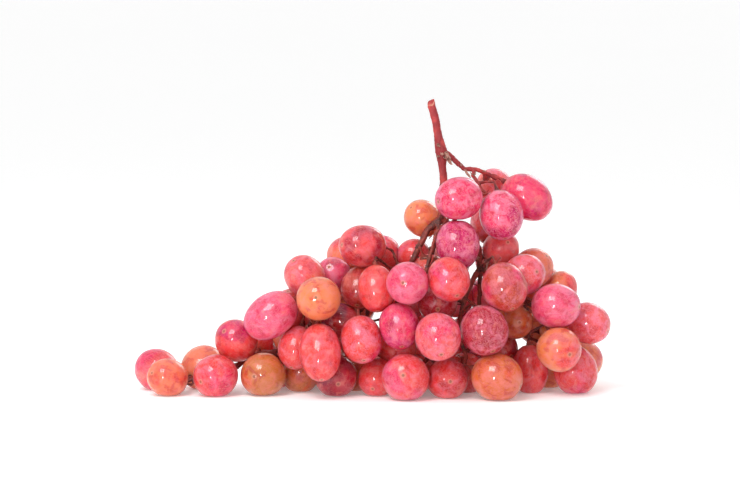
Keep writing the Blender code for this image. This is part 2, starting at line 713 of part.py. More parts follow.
def stem_tubes(bunch):
    """The tubes of the stem: each branch from its parent's point, then each footstalk."""
    stem = bunch.stem
    runs = []
    for branch in [STALK] + BRANCHES:
        own = stem.branches[branch.name]
        trail = [stem.parent[own[0]]] + own if branch.parent else own
        roundness = STALK_ROUNDNESS if branch.stays else TWIG_ROUNDNESS
        runs.append((branch.name, trail, roundness))
    for i, trail in enumerate(bunch.footstalks):
        runs.append((f"footstalk_{i}", trail, TWIG_ROUNDNESS))
    tubes = []
    for name, trail, roundness in runs:
        radii = stem.radius[trail]
        if name != "stalk":
            radii[0] = radii[1]
        tubes.append(make_tube(name, stem.place[trail], radii, roundness))
    return tubes


def make_stem(bunch, parts):
    """The stem as one solid: its overlapping tubes, grown together by a voxel remesh."""
    bm = bmesh.new()
    for tube in stem_tubes(bunch):
        bm.from_mesh(tube.data)
        bpy.data.objects.remove(tube)
    rough = bpy.data.meshes.new("stem_tubes")
    bm.to_mesh(rough)
    bm.free()
    stem = bpy.data.objects.new("stem", rough)
    parts.objects.link(stem)
    remesh = stem.modifiers.new("Remesh", "REMESH")
    remesh.mode = "VOXEL"
    remesh.voxel_size = STEM_VOXEL * MM
    squares = len(evaluated_mesh(stem).polygons)
    thin = stem.modifiers.new("Decimate", "DECIMATE")
    thin.ratio = STEM_TRIANGLES / (2 * squares)
    mesh = evaluated_mesh(stem)
    bm = bmesh.new()
    bm.from_mesh(mesh)
    fill_pockets(bm)
    bm.to_mesh(mesh)
    bm.free()
    mesh.shade_smooth()
    mesh.materials.append(make_material("stem"))
    stem.modifiers.clear()
    stem.data = mesh
    return stem


def centre_on_origin(objects, parts):
    """Put the middle of the bounding box's bottom at the origin, by one parent empty."""
    bpy.context.view_layer.update()
    graph = bpy.context.evaluated_depsgraph_get()
    low, high = np.full(3, np.inf), np.full(3, -np.inf)
    for ob in parts.objects:
        evaluated = ob.evaluated_get(graph)
        corners = [evaluated.matrix_world @ v.co for v in evaluated.data.vertices]
        low = np.minimum(low, np.min(corners, axis=0))
        high = np.maximum(high, np.max(corners, axis=0))
    frame = bpy.data.objects.new("bunch_frame", None)
    parts.objects.link(frame)
    frame.location = (-(low[0] + high[0]) / 2, -(low[1] + high[1]) / 2, 0.0)
    for ob in objects:
        ob.parent = frame


def main():
    for ob in list(bpy.data.objects):
        bpy.data.objects.remove(ob)
    parts = make_collection("bunch_of_grapes")
    cutters = make_collection("cutters")
    bunch = Bunch()
    bunch.settle()
    objects = make_berries(bunch, parts, cutters)
    objects.append(make_stem(bunch, parts))
    centre_on_origin(objects, parts)


main()
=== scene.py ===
# %% [markdown]
# # A bunch of table grapes
#
# The fixed frame holds every berry and the branched stem as plain solids of the right size, in
# the right place. This lesson grows the finished fruit on that frame: first the skins, with a
# full shape, a dimple, a scar and the colours of ripe pink grapes, then the woody stem with its
# collars, warts and dry scraps. Sizes and places are measured from the frame, so very little has
# to be fitted by eye.

# %% Load the fixed frame
import math

import bmesh
import bpy
import numpy as np
from mathutils import Matrix, Vector
from mathutils.kdtree import KDTree


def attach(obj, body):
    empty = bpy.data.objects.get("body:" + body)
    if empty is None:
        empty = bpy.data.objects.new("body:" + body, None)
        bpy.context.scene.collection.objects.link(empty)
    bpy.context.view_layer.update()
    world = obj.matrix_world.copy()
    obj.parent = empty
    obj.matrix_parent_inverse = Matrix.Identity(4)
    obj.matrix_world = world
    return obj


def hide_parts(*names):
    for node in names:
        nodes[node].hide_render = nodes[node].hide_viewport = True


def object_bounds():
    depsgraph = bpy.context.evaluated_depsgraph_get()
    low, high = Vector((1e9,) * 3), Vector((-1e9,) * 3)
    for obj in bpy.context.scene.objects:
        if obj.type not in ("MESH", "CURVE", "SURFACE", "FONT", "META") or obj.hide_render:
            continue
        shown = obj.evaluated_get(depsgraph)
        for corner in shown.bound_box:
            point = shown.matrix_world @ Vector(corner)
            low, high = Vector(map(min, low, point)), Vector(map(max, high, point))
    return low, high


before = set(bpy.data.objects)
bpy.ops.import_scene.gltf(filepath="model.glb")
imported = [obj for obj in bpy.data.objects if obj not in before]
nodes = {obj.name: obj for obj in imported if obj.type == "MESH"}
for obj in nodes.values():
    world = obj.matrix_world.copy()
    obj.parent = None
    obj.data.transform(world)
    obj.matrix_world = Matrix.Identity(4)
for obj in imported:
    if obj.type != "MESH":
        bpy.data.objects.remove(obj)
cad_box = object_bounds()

MM = 0.001
stem_node = nodes["stem"]
berry_nodes = [nodes[name] for name in sorted(nodes) if name != "stem"]
print("frame:", len(berry_nodes), "berry nodes, box", [list(corner) for corner in cad_box])

# %% [markdown]
# ## The stand: camera, light and floor
#
# The fruit lies on a white table in a white room, so light comes from all sides and the shadows
# stay pale. The table itself glows a little, like a lit studio table. One small lamp beside the
# camera puts a spark on each berry, and a wide panel above draws the soft patch on their
# shoulders. A long lens, 1.6 m away, keeps the shapes true.

# %% Camera
CAMERA_DISTANCE = 1.6
CAMERA_ELEVATION = math.radians(5.0)
CAMERA_AIM = Vector((-0.001, 0.0, 0.0735))
VIEW_WIDTH = 0.374  # how much the view takes in from side to side, at the aim
SENSOR_WIDTH = 36.0
NEAREST_SEEN = 10.0 * MM

scene = bpy.context.scene
camera = bpy.data.objects.new("camera", bpy.data.cameras.new("camera"))
camera.data.sensor_width = SENSOR_WIDTH
camera.data.lens = SENSOR_WIDTH * CAMERA_DISTANCE / VIEW_WIDTH
camera.data.clip_start = NEAREST_SEEN
towards_camera = Vector((0.0, -math.cos(CAMERA_ELEVATION), math.sin(CAMERA_ELEVATION)))
camera.location = CAMERA_AIM + towards_camera * CAMERA_DISTANCE
camera.rotation_euler = towards_camera.to_track_quat("Z", "Y").to_euler()
scene.collection.objects.link(camera)
scene.camera = camera
scene.view_settings.view_transform = "Standard"
print("camera: lens", round(camera.data.lens, 1), "mm")


# %% Lamps and room
def add_panel(name, place, aim, size, power):
    """A panel of light at a place, turned to its aim. Its size is (width, height)."""
    panel = bpy.data.objects.new(name, bpy.data.lights.new(name, "AREA"))
    panel.data.shape = "RECTANGLE"
    panel.data.size, panel.data.size_y = size
    panel.data.energy = power
    panel.location = place
    panel.rotation_euler = (Vector(place) - Vector(aim)).to_track_quat("Z", "Y").to_euler()
    scene.collection.objects.link(panel)
    return panel


FRUIT_MIDDLE = (0.0, 0.0, 0.05)
spark = add_panel("spark_lamp", (-0.34, -1.25, 0.10), FRUIT_MIDDLE, (0.11, 0.32), 4.2)
sky_panel = add_panel("sky_panel", (-0.30, -0.60, 0.75), FRUIT_MIDDLE, (0.42, 0.42), 5.4)
back_panel = add_panel("back_panel", (0.45, 0.85, 0.55), FRUIT_MIDDLE, (0.4, 0.4), 1.5)

ROOM_BRIGHTNESS = 0.84
room = bpy.data.worlds.new("white_room")
room.use_nodes = True
room.node_tree.nodes["Background"].inputs["Color"].default_value = (1.0, 1.0, 1.0, 1.0)
room.node_tree.nodes["Background"].inputs["Strength"].default_value = ROOM_BRIGHTNESS
scene.world = room
print("lamps:", [light.name for light in (spark, sky_panel, back_panel)])


# %% [markdown]
# ## Helpers for node trees
#
# Shader trees and geometry trees are built the same way here: make a node, then feed each of
# its sockets with a plain value or with another node's output. A few short functions do that, and
# keep every tree below readable from top to bottom.

# %% Node helpers
def add_node(tree, kind, feeds=None, **settings):
    """A new node. feeds maps a socket's name or number to a value or to an output."""
    made = tree.nodes.new(kind)
    for key, value in settings.items():
        setattr(made, key, value)
    for key, value in (feeds or {}).items():
        if isinstance(value, bpy.types.NodeSocket):
            tree.links.new(value, made.inputs[key])
        else:
            made.inputs[key].default_value = value
    return made


def calc(tree, operation, *values, clamp=False):
    """The output of a Math node."""
    feeds = dict(enumerate(values))
    return add_node(tree, "ShaderNodeMath", feeds, operation=operation, use_clamp=clamp).outputs[0]


def product(tree, first, *others):
    """Several values multiplied together."""
    for other in others:
        first = calc(tree, "MULTIPLY", first, other)
    return first


def vector_calc(tree, operation, *values):
    """The vector output of a Vector Math node."""
    feeds = dict(enumerate(values))
    return add_node(tree, "ShaderNodeVectorMath", feeds, operation=operation).outputs["Vector"]


def scaled(tree, vector, factor):
    """A vector made longer or shorter by a factor."""
    feeds = {0: vector, "Scale": factor}
    return add_node(tree, "ShaderNodeVectorMath", feeds, operation="SCALE").outputs["Vector"]


def hill(tree, distance, width):
    """A smooth bump: 1 where distance is 0, and close to 0 from two widths on."""
    steps = calc(tree, "DIVIDE", distance, width)
    return calc(tree, "EXPONENT", product(tree, steps, steps, -1.0))


# %% [markdown]
# ## The table
#
# A curved backdrop would do as well, but the fruit only needs something flat, white and level to
# lie on. One wide face does it, with a matt paint that hardly varies. A little light of its own
# keeps it white right under the fruit, where the room's light can't reach.

# %% Table top
def plain_material(name):
    """A new material, its tree and its Principled shader."""
    material = bpy.data.materials.new(name)
    material.use_nodes = True
    return material, material.node_tree, material.node_tree.nodes["Principled BSDF"]


FLOOR_SIZE = 120.0  # so wide that its far edge stays out of view
FLOOR_GLOW = 0.17
FLOOR_GRAIN = 40.0
FLOOR_WHITES = ((0.95, 0.95, 0.95, 1.0), (0.97, 0.97, 0.97, 1.0))
FLOOR_DROP = 0.05 * MM  # the floor lies this far under the berries, so that faces never fight
table_paint, tree, shader = plain_material("table_paint")
grain = add_node(tree, "ShaderNodeTexNoise", {"Scale": FLOOR_GRAIN, "Detail": 3.0})
paint_colour = add_node(tree, "ShaderNodeMix", {0: grain.outputs[0]}, data_type="RGBA")
paint_colour.inputs[6].default_value, paint_colour.inputs[7].default_value = FLOOR_WHITES
tree.links.new(paint_colour.outputs[2], shader.inputs["Base Color"])
shader.inputs["Roughness"].default_value = 0.7
shader.inputs["Specular IOR Level"].default_value = 0.2
shader.inputs["Emission Color"].default_value = (1.0, 1.0, 1.0, 1.0)
shader.inputs["Emission Strength"].default_value = FLOOR_GLOW

half = FLOOR_SIZE / 2
floor_mesh = bpy.data.meshes.new("table_top")
floor_corners = [(-half, -half), (half, -half), (half, half), (-half, half)]
floor_mesh.from_pydata([(x, y, -FLOOR_DROP) for x, y in floor_corners], [], [(0, 1, 2, 3)])
floor_mesh.materials.append(table_paint)
table_top = bpy.data.objects.new("table_top", floor_mesh)
scene.collection.objects.link(table_top)
print("table:", FLOOR_SIZE, "m wide")

# %% [markdown]
# ## Finding the berries in the frame
#
# In the frame a berry is a sphere of few faces, stretched along its axis. Its edges meet in tens
# at the two poles, and nowhere else, so a corner with ten even edges is a pole. The first
# ring below the pole then gives the berry's width, its length and its middle, even where the
# other pole has been cut away by the floor or by a neighbour.

# %% Berry frames
POLE_EDGES = 10
POLE_EVENNESS = 1.03  # a pole's longest spoke beside its shortest, at the most
RING_ANGLE = math.pi / 7  # from the pole to the first ring
WELD = 0.001 * MM
SAME_BERRY = 1.0 * MM


def welded(mesh):
    """A bmesh of a frame node with its loose triangles joined."""
    bm = bmesh.new()
    bm.from_mesh(mesh)
    bmesh.ops.remove_doubles(bm, verts=bm.verts, dist=WELD)
    return bm


def read_pole(vert):
    """(middle, axis out of this pole, half width, half length), or None if it is no pole."""
    if len(vert.link_edges) != POLE_EDGES:
        return None
    ring = [edge.other_vert(vert).co for edge in vert.link_edges]
    ring_middle = sum(ring, Vector()) / POLE_EDGES
    spokes = [(co - ring_middle).length for co in ring]
    if max(spokes) > POLE_EVENNESS * min(spokes):
        return None
    axis = vert.co - ring_middle
    half_length = axis.length / (1 - math.cos(RING_ANGLE))
    half_width = np.mean(spokes) / math.sin(RING_ANGLE)
    axis.normalize()
    return vert.co - axis * half_length, axis, half_width, half_length


stem_points = KDTree(len(stem_node.data.vertices))
for vert in stem_node.data.vertices:
    stem_points.insert(vert.co, vert.index)
stem_points.balance()


def find_berries(node):
    """One node's berries, as (middle, axis to the blossom end, half width, half length)."""
    bm = welded(node.data)
    found = []
    for vert in bm.verts:
        pole = read_pole(vert)
        if pole and all((pole[0] - other[0]).length > SAME_BERRY for other in found):
            found.append(pole)
    bm.free()
    berries = []
    for middle, axis, half_width, half_length in found:
        near = stem_points.find(middle + axis * half_length)[2]
        far = stem_points.find(middle - axis * half_length)[2]
        berries.append((middle, axis if near > far else -axis, half_width, half_length))
    return berries


frames = {node.name: find_berries(node) for node in berry_nodes}
all_frames = [(name, berry) for name in frames for berry in frames[name]]
print("berries:", len(all_frames), "in", len(frames), "nodes;", end=" ")
print("nodes without one:", [name for name in frames if not frames[name]])

# %% [markdown]
# ## The berry, as a Geometry Nodes tree
#
# A grape follows one rule: a long round skin, a little wider at one end, with a collar and a
# dimple where the footstalk enters and a small scar with a raised dot at the blossom end. One
# berry could be sculpted and copied, but then all would be twins. A Geometry Nodes tree writes
# the rule once, with its sizes as inputs, and makes every berry anew. It starts from a sphere,
# crowds its rings towards both ends, where the detail is, and moves each point. It also stores
# where each point lies on the skin, for the colours to use later.

# %% Tree helpers
GEOMETRY = "NodeSocketGeometry"
NUMBER = "NodeSocketFloat"
WHOLE = "NodeSocketInt"
COLOUR = "NodeSocketColor"
FINISH = "NodeSocketMaterial"


def new_tree(name, sockets, takes_mesh=False):
    """A geometry tree with named inputs, its Group Input outputs by name, and its Group Output."""
    tree = bpy.data.node_groups.new(name, "GeometryNodeTree")
    tree.interface.new_socket("Geometry", in_out="OUTPUT", socket_type=GEOMETRY)
    if takes_mesh:
        tree.interface.new_socket("Geometry", in_out="INPUT", socket_type=GEOMETRY)
    for label, kind in sockets:
        tree.interface.new_socket(label, in_out="INPUT", socket_type=kind)
    start = tree.nodes.new("NodeGroupInput")
    return tree, start.outputs, tree.nodes.new("NodeGroupOutput")


def store(tree, geometry, name, value, kind):
    """Stores a value on every point, under a name that a shader can read."""
    made = add_node(tree, "GeometryNodeStoreNamedAttribute", {"Geometry": geometry, "Name": name})
    made.data_type = kind
    made.domain = "POINT"
    tree.links.new(value, made.inputs["Value"])
    return made.outputs["Geometry"]


def finish_tree(tree, geometry, material, end):
    """Every tree ends alike: no instances left, the material on, and smooth faces."""
    real = add_node(tree, "GeometryNodeRealizeInstances", {"Geometry": geometry})
    smooth = add_node(tree, "GeometryNodeSetShadeSmooth", {"Geometry": real.outputs[0]})
    painted = add_node(
        tree, "GeometryNodeSetMaterial", {"Geometry": smooth.outputs[0], "Material": material}
    )
    tree.links.new(painted.outputs[0], end.inputs[0])


def run_tree(tree, name, values, source=None):
    """The plain mesh that a tree makes with these input values, from a source mesh if given."""
    maker = bpy.data.objects.new(name, source or bpy.data.meshes.new(name))
    scene.collection.objects.link(maker)
    modifier = maker.modifiers.new("tree", "NODES")
    modifier.node_group = tree
    for item in tree.interface.items_tree:
        if item.in_out == "INPUT" and item.name in values:
            modifier[item.identifier] = values[item.name]
    bpy.context.view_layer.update()
    result = maker.evaluated_get(bpy.context.evaluated_depsgraph_get())
    mesh = bpy.data.meshes.new_from_object(result)
    bpy.data.objects.remove(maker)
    return mesh


# %% The berry tree
BERRY_SEGMENTS = 56
BERRY_RINGS = 44
END_CROWDING = 0.62  # how much closer the rings lie at the ends than in the middle
SHOULDER_FULLNESS = 0.95  # below 1, the skin is fuller than an egg's
DIMPLE_WIDTH = 0.20
COLLAR_RADIUS = 0.31
COLLAR_WIDTH = 0.09
COLLAR_HEIGHT = 0.25  # of the dimple's depth
SCAR_WIDTH = 0.15
SCAR_DOT_WIDTH = 0.05
DENT_SCALE = 70.0  # dents per metre, in the noise's own measure
RIPPLE_SCALE = 260.0
RIPPLE_SHARE = 0.16  # how high ripples are beside dents

berry_tree, given, end = new_tree(
    "grape_berry",
    [
        ("Half Width", NUMBER),
        ("Half Length", NUMBER),
        ("Taper", NUMBER),
        ("Dimple Depth", NUMBER),
        ("Scar Depth", NUMBER),
        ("Unevenness", NUMBER),
        ("Seed", NUMBER),
        ("Flesh", COLOUR),
        ("Flush", COLOUR),
        ("Bloom", NUMBER),
        ("Skin", FINISH),
    ],
)
tree = berry_tree
labels = [item.name for item in tree.interface.items_tree if item.in_out == "INPUT"]
print("berry tree inputs:", labels)

# %% The long round shape
ball = add_node(
    tree,
    "GeometryNodeMeshUVSphere",
    {"Segments": BERRY_SEGMENTS, "Rings": BERRY_RINGS, "Radius": 1.0},
)
point = tree.nodes.new("GeometryNodeInputPosition").outputs[0]
parts = add_node(tree, "ShaderNodeSeparateXYZ", {0: point})
flat = add_node(tree, "ShaderNodeCombineXYZ", {"X": parts.outputs[0], "Y": parts.outputs[1]})
outward = vector_calc(tree, "NORMALIZE", flat.outputs[0])
angle = calc(tree, "ARCCOSINE", parts.outputs[2])
crowd = calc(tree, "SINE", calc(tree, "MULTIPLY", angle, 2.0))
crowd = calc(tree, "MULTIPLY", crowd, END_CROWDING / 2)
angle = calc(tree, "SUBTRACT", angle, crowd)
radius = calc(tree, "MAXIMUM", calc(tree, "SINE", angle), 0.0)
height = calc(tree, "COSINE", angle)
at_blossom = calc(tree, "GREATER_THAN", height, 0.0)
at_stem = calc(tree, "SUBTRACT", 1.0, at_blossom)

full = calc(tree, "POWER", radius, SHOULDER_FULLNESS)
plump = calc(tree, "MULTIPLY_ADD", height, given["Taper"], 1.0)
across = product(tree, full, plump, given["Half Width"])

# %% The dimple, the scar and the dents
dimple = hill(tree, radius, DIMPLE_WIDTH)
collar = hill(tree, calc(tree, "SUBTRACT", radius, COLLAR_RADIUS), COLLAR_WIDTH)
collar = calc(tree, "MULTIPLY", collar, COLLAR_HEIGHT)
stem_end = calc(tree, "MULTIPLY", calc(tree, "SUBTRACT", dimple, collar), given["Dimple Depth"])
scar = hill(tree, radius, SCAR_WIDTH)
dot = hill(tree, radius, SCAR_DOT_WIDTH)
blossom_end = calc(tree, "MULTIPLY", calc(tree, "SUBTRACT", dot, scar), given["Scar Depth"])
along = calc(tree, "MULTIPLY", height, given["Half Length"])
along = calc(tree, "ADD", along, calc(tree, "MULTIPLY", stem_end, at_stem))
along = calc(tree, "ADD", along, calc(tree, "MULTIPLY", blossom_end, at_blossom))
rise = add_node(tree, "ShaderNodeCombineXYZ", {"Z": along})
shape = vector_calc(tree, "ADD", scaled(tree, outward, across), rise.outputs[0])

dents = None
for scale, share in ((DENT_SCALE, 1.0), (RIPPLE_SCALE, RIPPLE_SHARE)):
    noise = add_node(
        tree,
        "ShaderNodeTexNoise",
        {"Vector": shape, "W": given["Seed"], "Scale": scale, "Detail": 1.0},
        noise_dimensions="4D",
    )
    wave = calc(tree, "MULTIPLY", calc(tree, "SUBTRACT", noise.outputs[0], 0.5), 2.0 * share)
    dents = wave if dents is None else calc(tree, "ADD", dents, wave)
dents = calc(tree, "MULTIPLY", dents, given["Unevenness"])
uneven = scaled(tree, vector_calc(tree, "NORMALIZE", shape), dents)
moved = add_node(
    tree,
    "GeometryNodeSetPosition",
    {"Geometry": ball.outputs["Mesh"], "Position": vector_calc(tree, "ADD", shape, uneven)},
)

# %% What the colours need to know
skin_height = add_node(tree, "ShaderNodeCombineXYZ", {"Z": height}).outputs[0]
skin_place = vector_calc(tree, "ADD", scaled(tree, outward, radius), skin_height)
geometry = store(tree, ball.outputs["Mesh"], "skin_place", skin_place, "FLOAT_VECTOR")
geometry = store(tree, geometry, "flesh", given["Flesh"], "FLOAT_COLOR")
geometry = store(tree, geometry, "flush", given["Flush"], "FLOAT_COLOR")
geometry = store(tree, geometry, "bloom", given["Bloom"], "FLOAT")
tree.links.new(geometry, moved.inputs["Geometry"])
finish_tree(tree, moved.outputs[0], given["Skin"], end)
print("berry tree:", len(tree.nodes), "nodes")

# %% [markdown]
# ## The skin
#
# A pink table grape has a thin tinted skin over clear flesh, so light goes in, spreads and comes
# out warm. Subsurface scattering does that. The tint is never even: pale flesh shows in some
# places and a deeper flush in others, with pale threads from end to end, small dark pores, and a
# whitish wax, the bloom, wiped away where the fruit was touched. A painted image would stretch
# at the ends and be the same on every berry, so the colours come from noise in the fruit's own
# space. The tree below layers them in the order in which they lie on the fruit, and one function
# makes all four skins.

# %% Skin patterns and tints
PATCH_SCALE = 0.065  # patches per millimetre, and so on down to the finest
WISP_SCALE = 0.17
MOTTLE_SCALE = 0.19
SCUFF_SCALE = 0.33
PORE_SCALE = 0.42
FRECKLE_SCALE = 0.75
FINE_SCALE = 1.5
WISP_SHIFT = (31.0, 7.0, 19.0)  # wisps and patches must not follow each other
THREADS = (5.0, 5.0, 0.7)  # many across the berry, few along it
PORES_MISSING = 0.55  # the share of places without a pore
DEEPER = (0.80, 0.42, 0.55, 1.0)
FRECKLE = (0.72, 0.40, 0.62, 1.0)
BLOOM_TINT = (0.90, 0.31, 0.46, 1.0)
PALE_THREAD = (0.86, 0.27, 0.22, 1.0)
PORE_BROWN = (0.20, 0.03, 0.03, 1.0)
CORK = (0.30, 0.12, 0.06, 1.0)
SCAR_PALE = (0.72, 0.33, 0.22, 1.0)
STEM_END_TINT = (0.70, 0.27, 0.09, 1.0)


# %% Colour helpers
def blend(tree, fac, low, high, kind="MIX"):
    """The colour between two, by a factor."""
    made = add_node(
        tree, "ShaderNodeMix", {0: fac, 6: low, 7: high}, data_type="RGBA", blend_type=kind
    )
    return made.outputs[2]


def ramp(tree, value, low, high, bottom=0.0, top=1.0):
    """Smoothly from bottom to top as value goes from low to high."""
    feeds = {"Value": value, "From Min": low, "From Max": high, "To Min": bottom, "To Max": top}
    made = add_node(tree, "ShaderNodeMapRange", feeds, interpolation_type="SMOOTHSTEP")
    return made.outputs[0]


def cloud(tree, vector, scale, detail=2.0, twist=0.0):
    """Noise from 0 to 1."""
    feeds = {"Vector": vector, "Scale": scale, "Detail": detail, "Distortion": twist}
    return add_node(tree, "ShaderNodeTexNoise", feeds).outputs[0]


def set_sockets(shader, values):
    """Sets plain values on a shader's own sockets."""
    for socket, value in values.items():
        shader.inputs[socket].default_value = value


# %% Skin material
def make_skin(name, roughness, flush_cover, scatter):
    """A berry's skin. flush_cover is how far its flush spreads, scatter how deep light goes."""
    material, tree, shader = plain_material(name)
    spot = tree.nodes.new("ShaderNodeTexCoord").outputs["Object"]
    spot = scaled(tree, spot, 1.0 / MM)

    def stored(attribute, output):
        made = add_node(tree, "ShaderNodeAttribute", attribute_name=attribute)
        return made.outputs[output]

    place = stored("skin_place", "Vector")
    axis = add_node(tree, "ShaderNodeSeparateXYZ", {0: place}).outputs[2]
    flat = vector_calc(tree, "MULTIPLY", place, (1.0, 1.0, 0.0))
    length = add_node(tree, "ShaderNodeVectorMath", {0: flat}, operation="LENGTH")
    rim = length.outputs["Value"]

    patches = cloud(tree, spot, PATCH_SCALE, 2.0, 0.4)
    mottle = cloud(tree, spot, MOTTLE_SCALE, 2.5, 0.6)
    wisps = cloud(tree, vector_calc(tree, "ADD", spot, WISP_SHIFT), WISP_SCALE, 5.0, 1.0)
    fine = cloud(tree, spot, FINE_SCALE, 4.0, 0.4)

    flush_at = calc(tree, "MULTIPLY_ADD", axis, 0.05, patches)
    flush_fac = ramp(tree, flush_at, 0.62 - flush_cover, 0.78 - flush_cover)
    colour = blend(tree, flush_fac, stored("flesh", "Color"), stored("flush", "Color"))
    deeper = ramp(tree, mottle, 0.50, 0.64, 0.0, 0.95)
    colour = blend(tree, deeper, colour, DEEPER, "MULTIPLY")
    lighter = ramp(tree, mottle, 0.47, 0.30, 0.0, 0.45)
    colour = blend(tree, lighter, colour, PALE_THREAD)

    freckles = cloud(tree, spot, FRECKLE_SCALE, 3.0, 0.5)
    freckles = calc(tree, "MULTIPLY", ramp(tree, freckles, 0.54, 0.63, 0.0, 0.5), flush_fac)
    colour = blend(tree, freckles, colour, FRECKLE, "MULTIPLY")

    threads = cloud(tree, vector_calc(tree, "MULTIPLY", place, THREADS), 1.0, 2.0, 0.2)
    threads = calc(tree, "ABSOLUTE", calc(tree, "SUBTRACT", threads, 0.5))
    threads = ramp(tree, threads, 0.045, 0.0, 0.0, 0.22)
    threads = calc(tree, "MULTIPLY", threads, ramp(tree, rim, 0.15, 0.5))
    colour = blend(tree, threads, colour, PALE_THREAD)

    ends = calc(tree, "MULTIPLY", hill(tree, rim, 0.42), calc(tree, "LESS_THAN", axis, 0.0))
    colour = blend(tree, calc(tree, "MULTIPLY", ends, 0.55), colour, STEM_END_TINT)

    pores = add_node(tree, "ShaderNodeTexVoronoi", {"Vector": spot, "Scale": PORE_SCALE})
    lot = add_node(tree, "ShaderNodeSeparateColor", {0: pores.outputs["Color"]}).outputs[0]
    pore_fac = ramp(tree, pores.outputs["Distance"], 0.085, 0.04, 0.0, 0.55)
    pore_fac = calc(tree, "MULTIPLY", pore_fac, calc(tree, "GREATER_THAN", lot, PORES_MISSING))
    colour = blend(tree, pore_fac, colour, PORE_BROWN)

    scuffs = calc(tree, "SUBTRACT", cloud(tree, spot, SCUFF_SCALE, 5.0, 1.6), 0.5)
    scuffs = ramp(tree, calc(tree, "ABSOLUTE", scuffs), 0.042, 0.0, 0.0, 0.75)
    bloom_fac = ramp(tree, wisps, 0.45, 0.62)
    bloom_fac = calc(tree, "MULTIPLY", bloom_fac, ramp(tree, fine, 0.30, 0.62, 0.4, 1.0))
    bloom_fac = calc(tree, "MAXIMUM", bloom_fac, scuffs)
    bloom_fac = calc(tree, "MULTIPLY", bloom_fac, stored("bloom", "Fac"), clamp=True)
    colour = blend(tree, bloom_fac, colour, BLOOM_TINT)

    blossom = calc(tree, "GREATER_THAN", axis, 0.0)
    ring = hill(tree, calc(tree, "SUBTRACT", rim, 0.085), 0.03)
    colour = blend(tree, product(tree, ring, blossom, 0.7), colour, SCAR_PALE)
    cork = calc(tree, "MULTIPLY", ramp(tree, rim, 0.065, 0.035, 0.0, 0.9), blossom)
    colour = blend(tree, cork, colour, CORK)

    tree.links.new(colour, shader.inputs["Base Color"])
    rough = calc(tree, "MULTIPLY_ADD", bloom_fac, 0.25, roughness)
    tree.links.new(rough, shader.inputs["Roughness"])
    coat = calc(tree, "MULTIPLY_ADD", bloom_fac, -0.5, 0.9)
    tree.links.new(coat, shader.inputs["Coat Weight"])
    relief = calc(tree, "MULTIPLY_ADD", fine, 0.35, calc(tree, "MULTIPLY", bloom_fac, 0.4))
    relief = calc(tree, "SUBTRACT", relief, calc(tree, "MULTIPLY", pore_fac, 0.5))
    bump = add_node(
        tree, "ShaderNodeBump", {"Height": relief, "Strength": 0.16, "Distance": 0.12 * MM}
    )
    tree.links.new(bump.outputs[0], shader.inputs["Normal"])
    sockets = {
        "Subsurface Weight": 1.0,
        "Subsurface Radius": (1.0, 0.26, 0.22),
        "Subsurface Scale": scatter,
        "IOR": 1.42,
        "Specular IOR Level": 0.2,
        "Transmission Weight": 0.25,
        "Coat Roughness": 0.07,
    }
    set_sockets(shader, sockets)
    return material


# %% The four skins
skins = {
    "berry_rose": make_skin("rose_skin", 0.48, 0.08, 3.2 * MM),
    "berry_crimson": make_skin("crimson_skin", 0.50, 0.12, 2.8 * MM),
    "berry_coral": make_skin("coral_skin", 0.46, 0.10, 3.2 * MM),
    "berry_amber": make_skin("amber_skin", 0.44, 0.06, 3.8 * MM),
}
print("skins:", {slot: len(skin.node_tree.nodes) for slot, skin in skins.items()})

# %% [markdown]
# ## Which berry is which
#
# No two berries of a bunch ripen alike. Each one gets two tints, the flesh that shows through
# and the flush on top, and an amount of bloom. The words below are a maker's notes, berry by
# berry, from the far left of the heap to the right; the small berries pressed together behind
# share one note for their cluster.

# %% Tints
TINTS = {
    "peach": (0.84, 0.20, 0.08),
    "apricot": (0.86, 0.25, 0.08),
    "amber": (0.70, 0.15, 0.03),
    "olive": (0.60, 0.19, 0.04),
    "coral": (0.82, 0.050, 0.045),
    "salmon": (0.84, 0.100, 0.105),
    "pink": (0.84, 0.085, 0.20),
    "rose": (0.80, 0.018, 0.12),
    "magenta": (0.62, 0.006, 0.13),
    "crimson": (0.48, 0.008, 0.030),
    "ruby": (0.58, 0.012, 0.018),
    "mauve": (0.54, 0.055, 0.11),
    "plum": (0.30, 0.008, 0.045),
    "brick": (0.56, 0.050, 0.02),
}
print("tints:", ", ".join(TINTS))

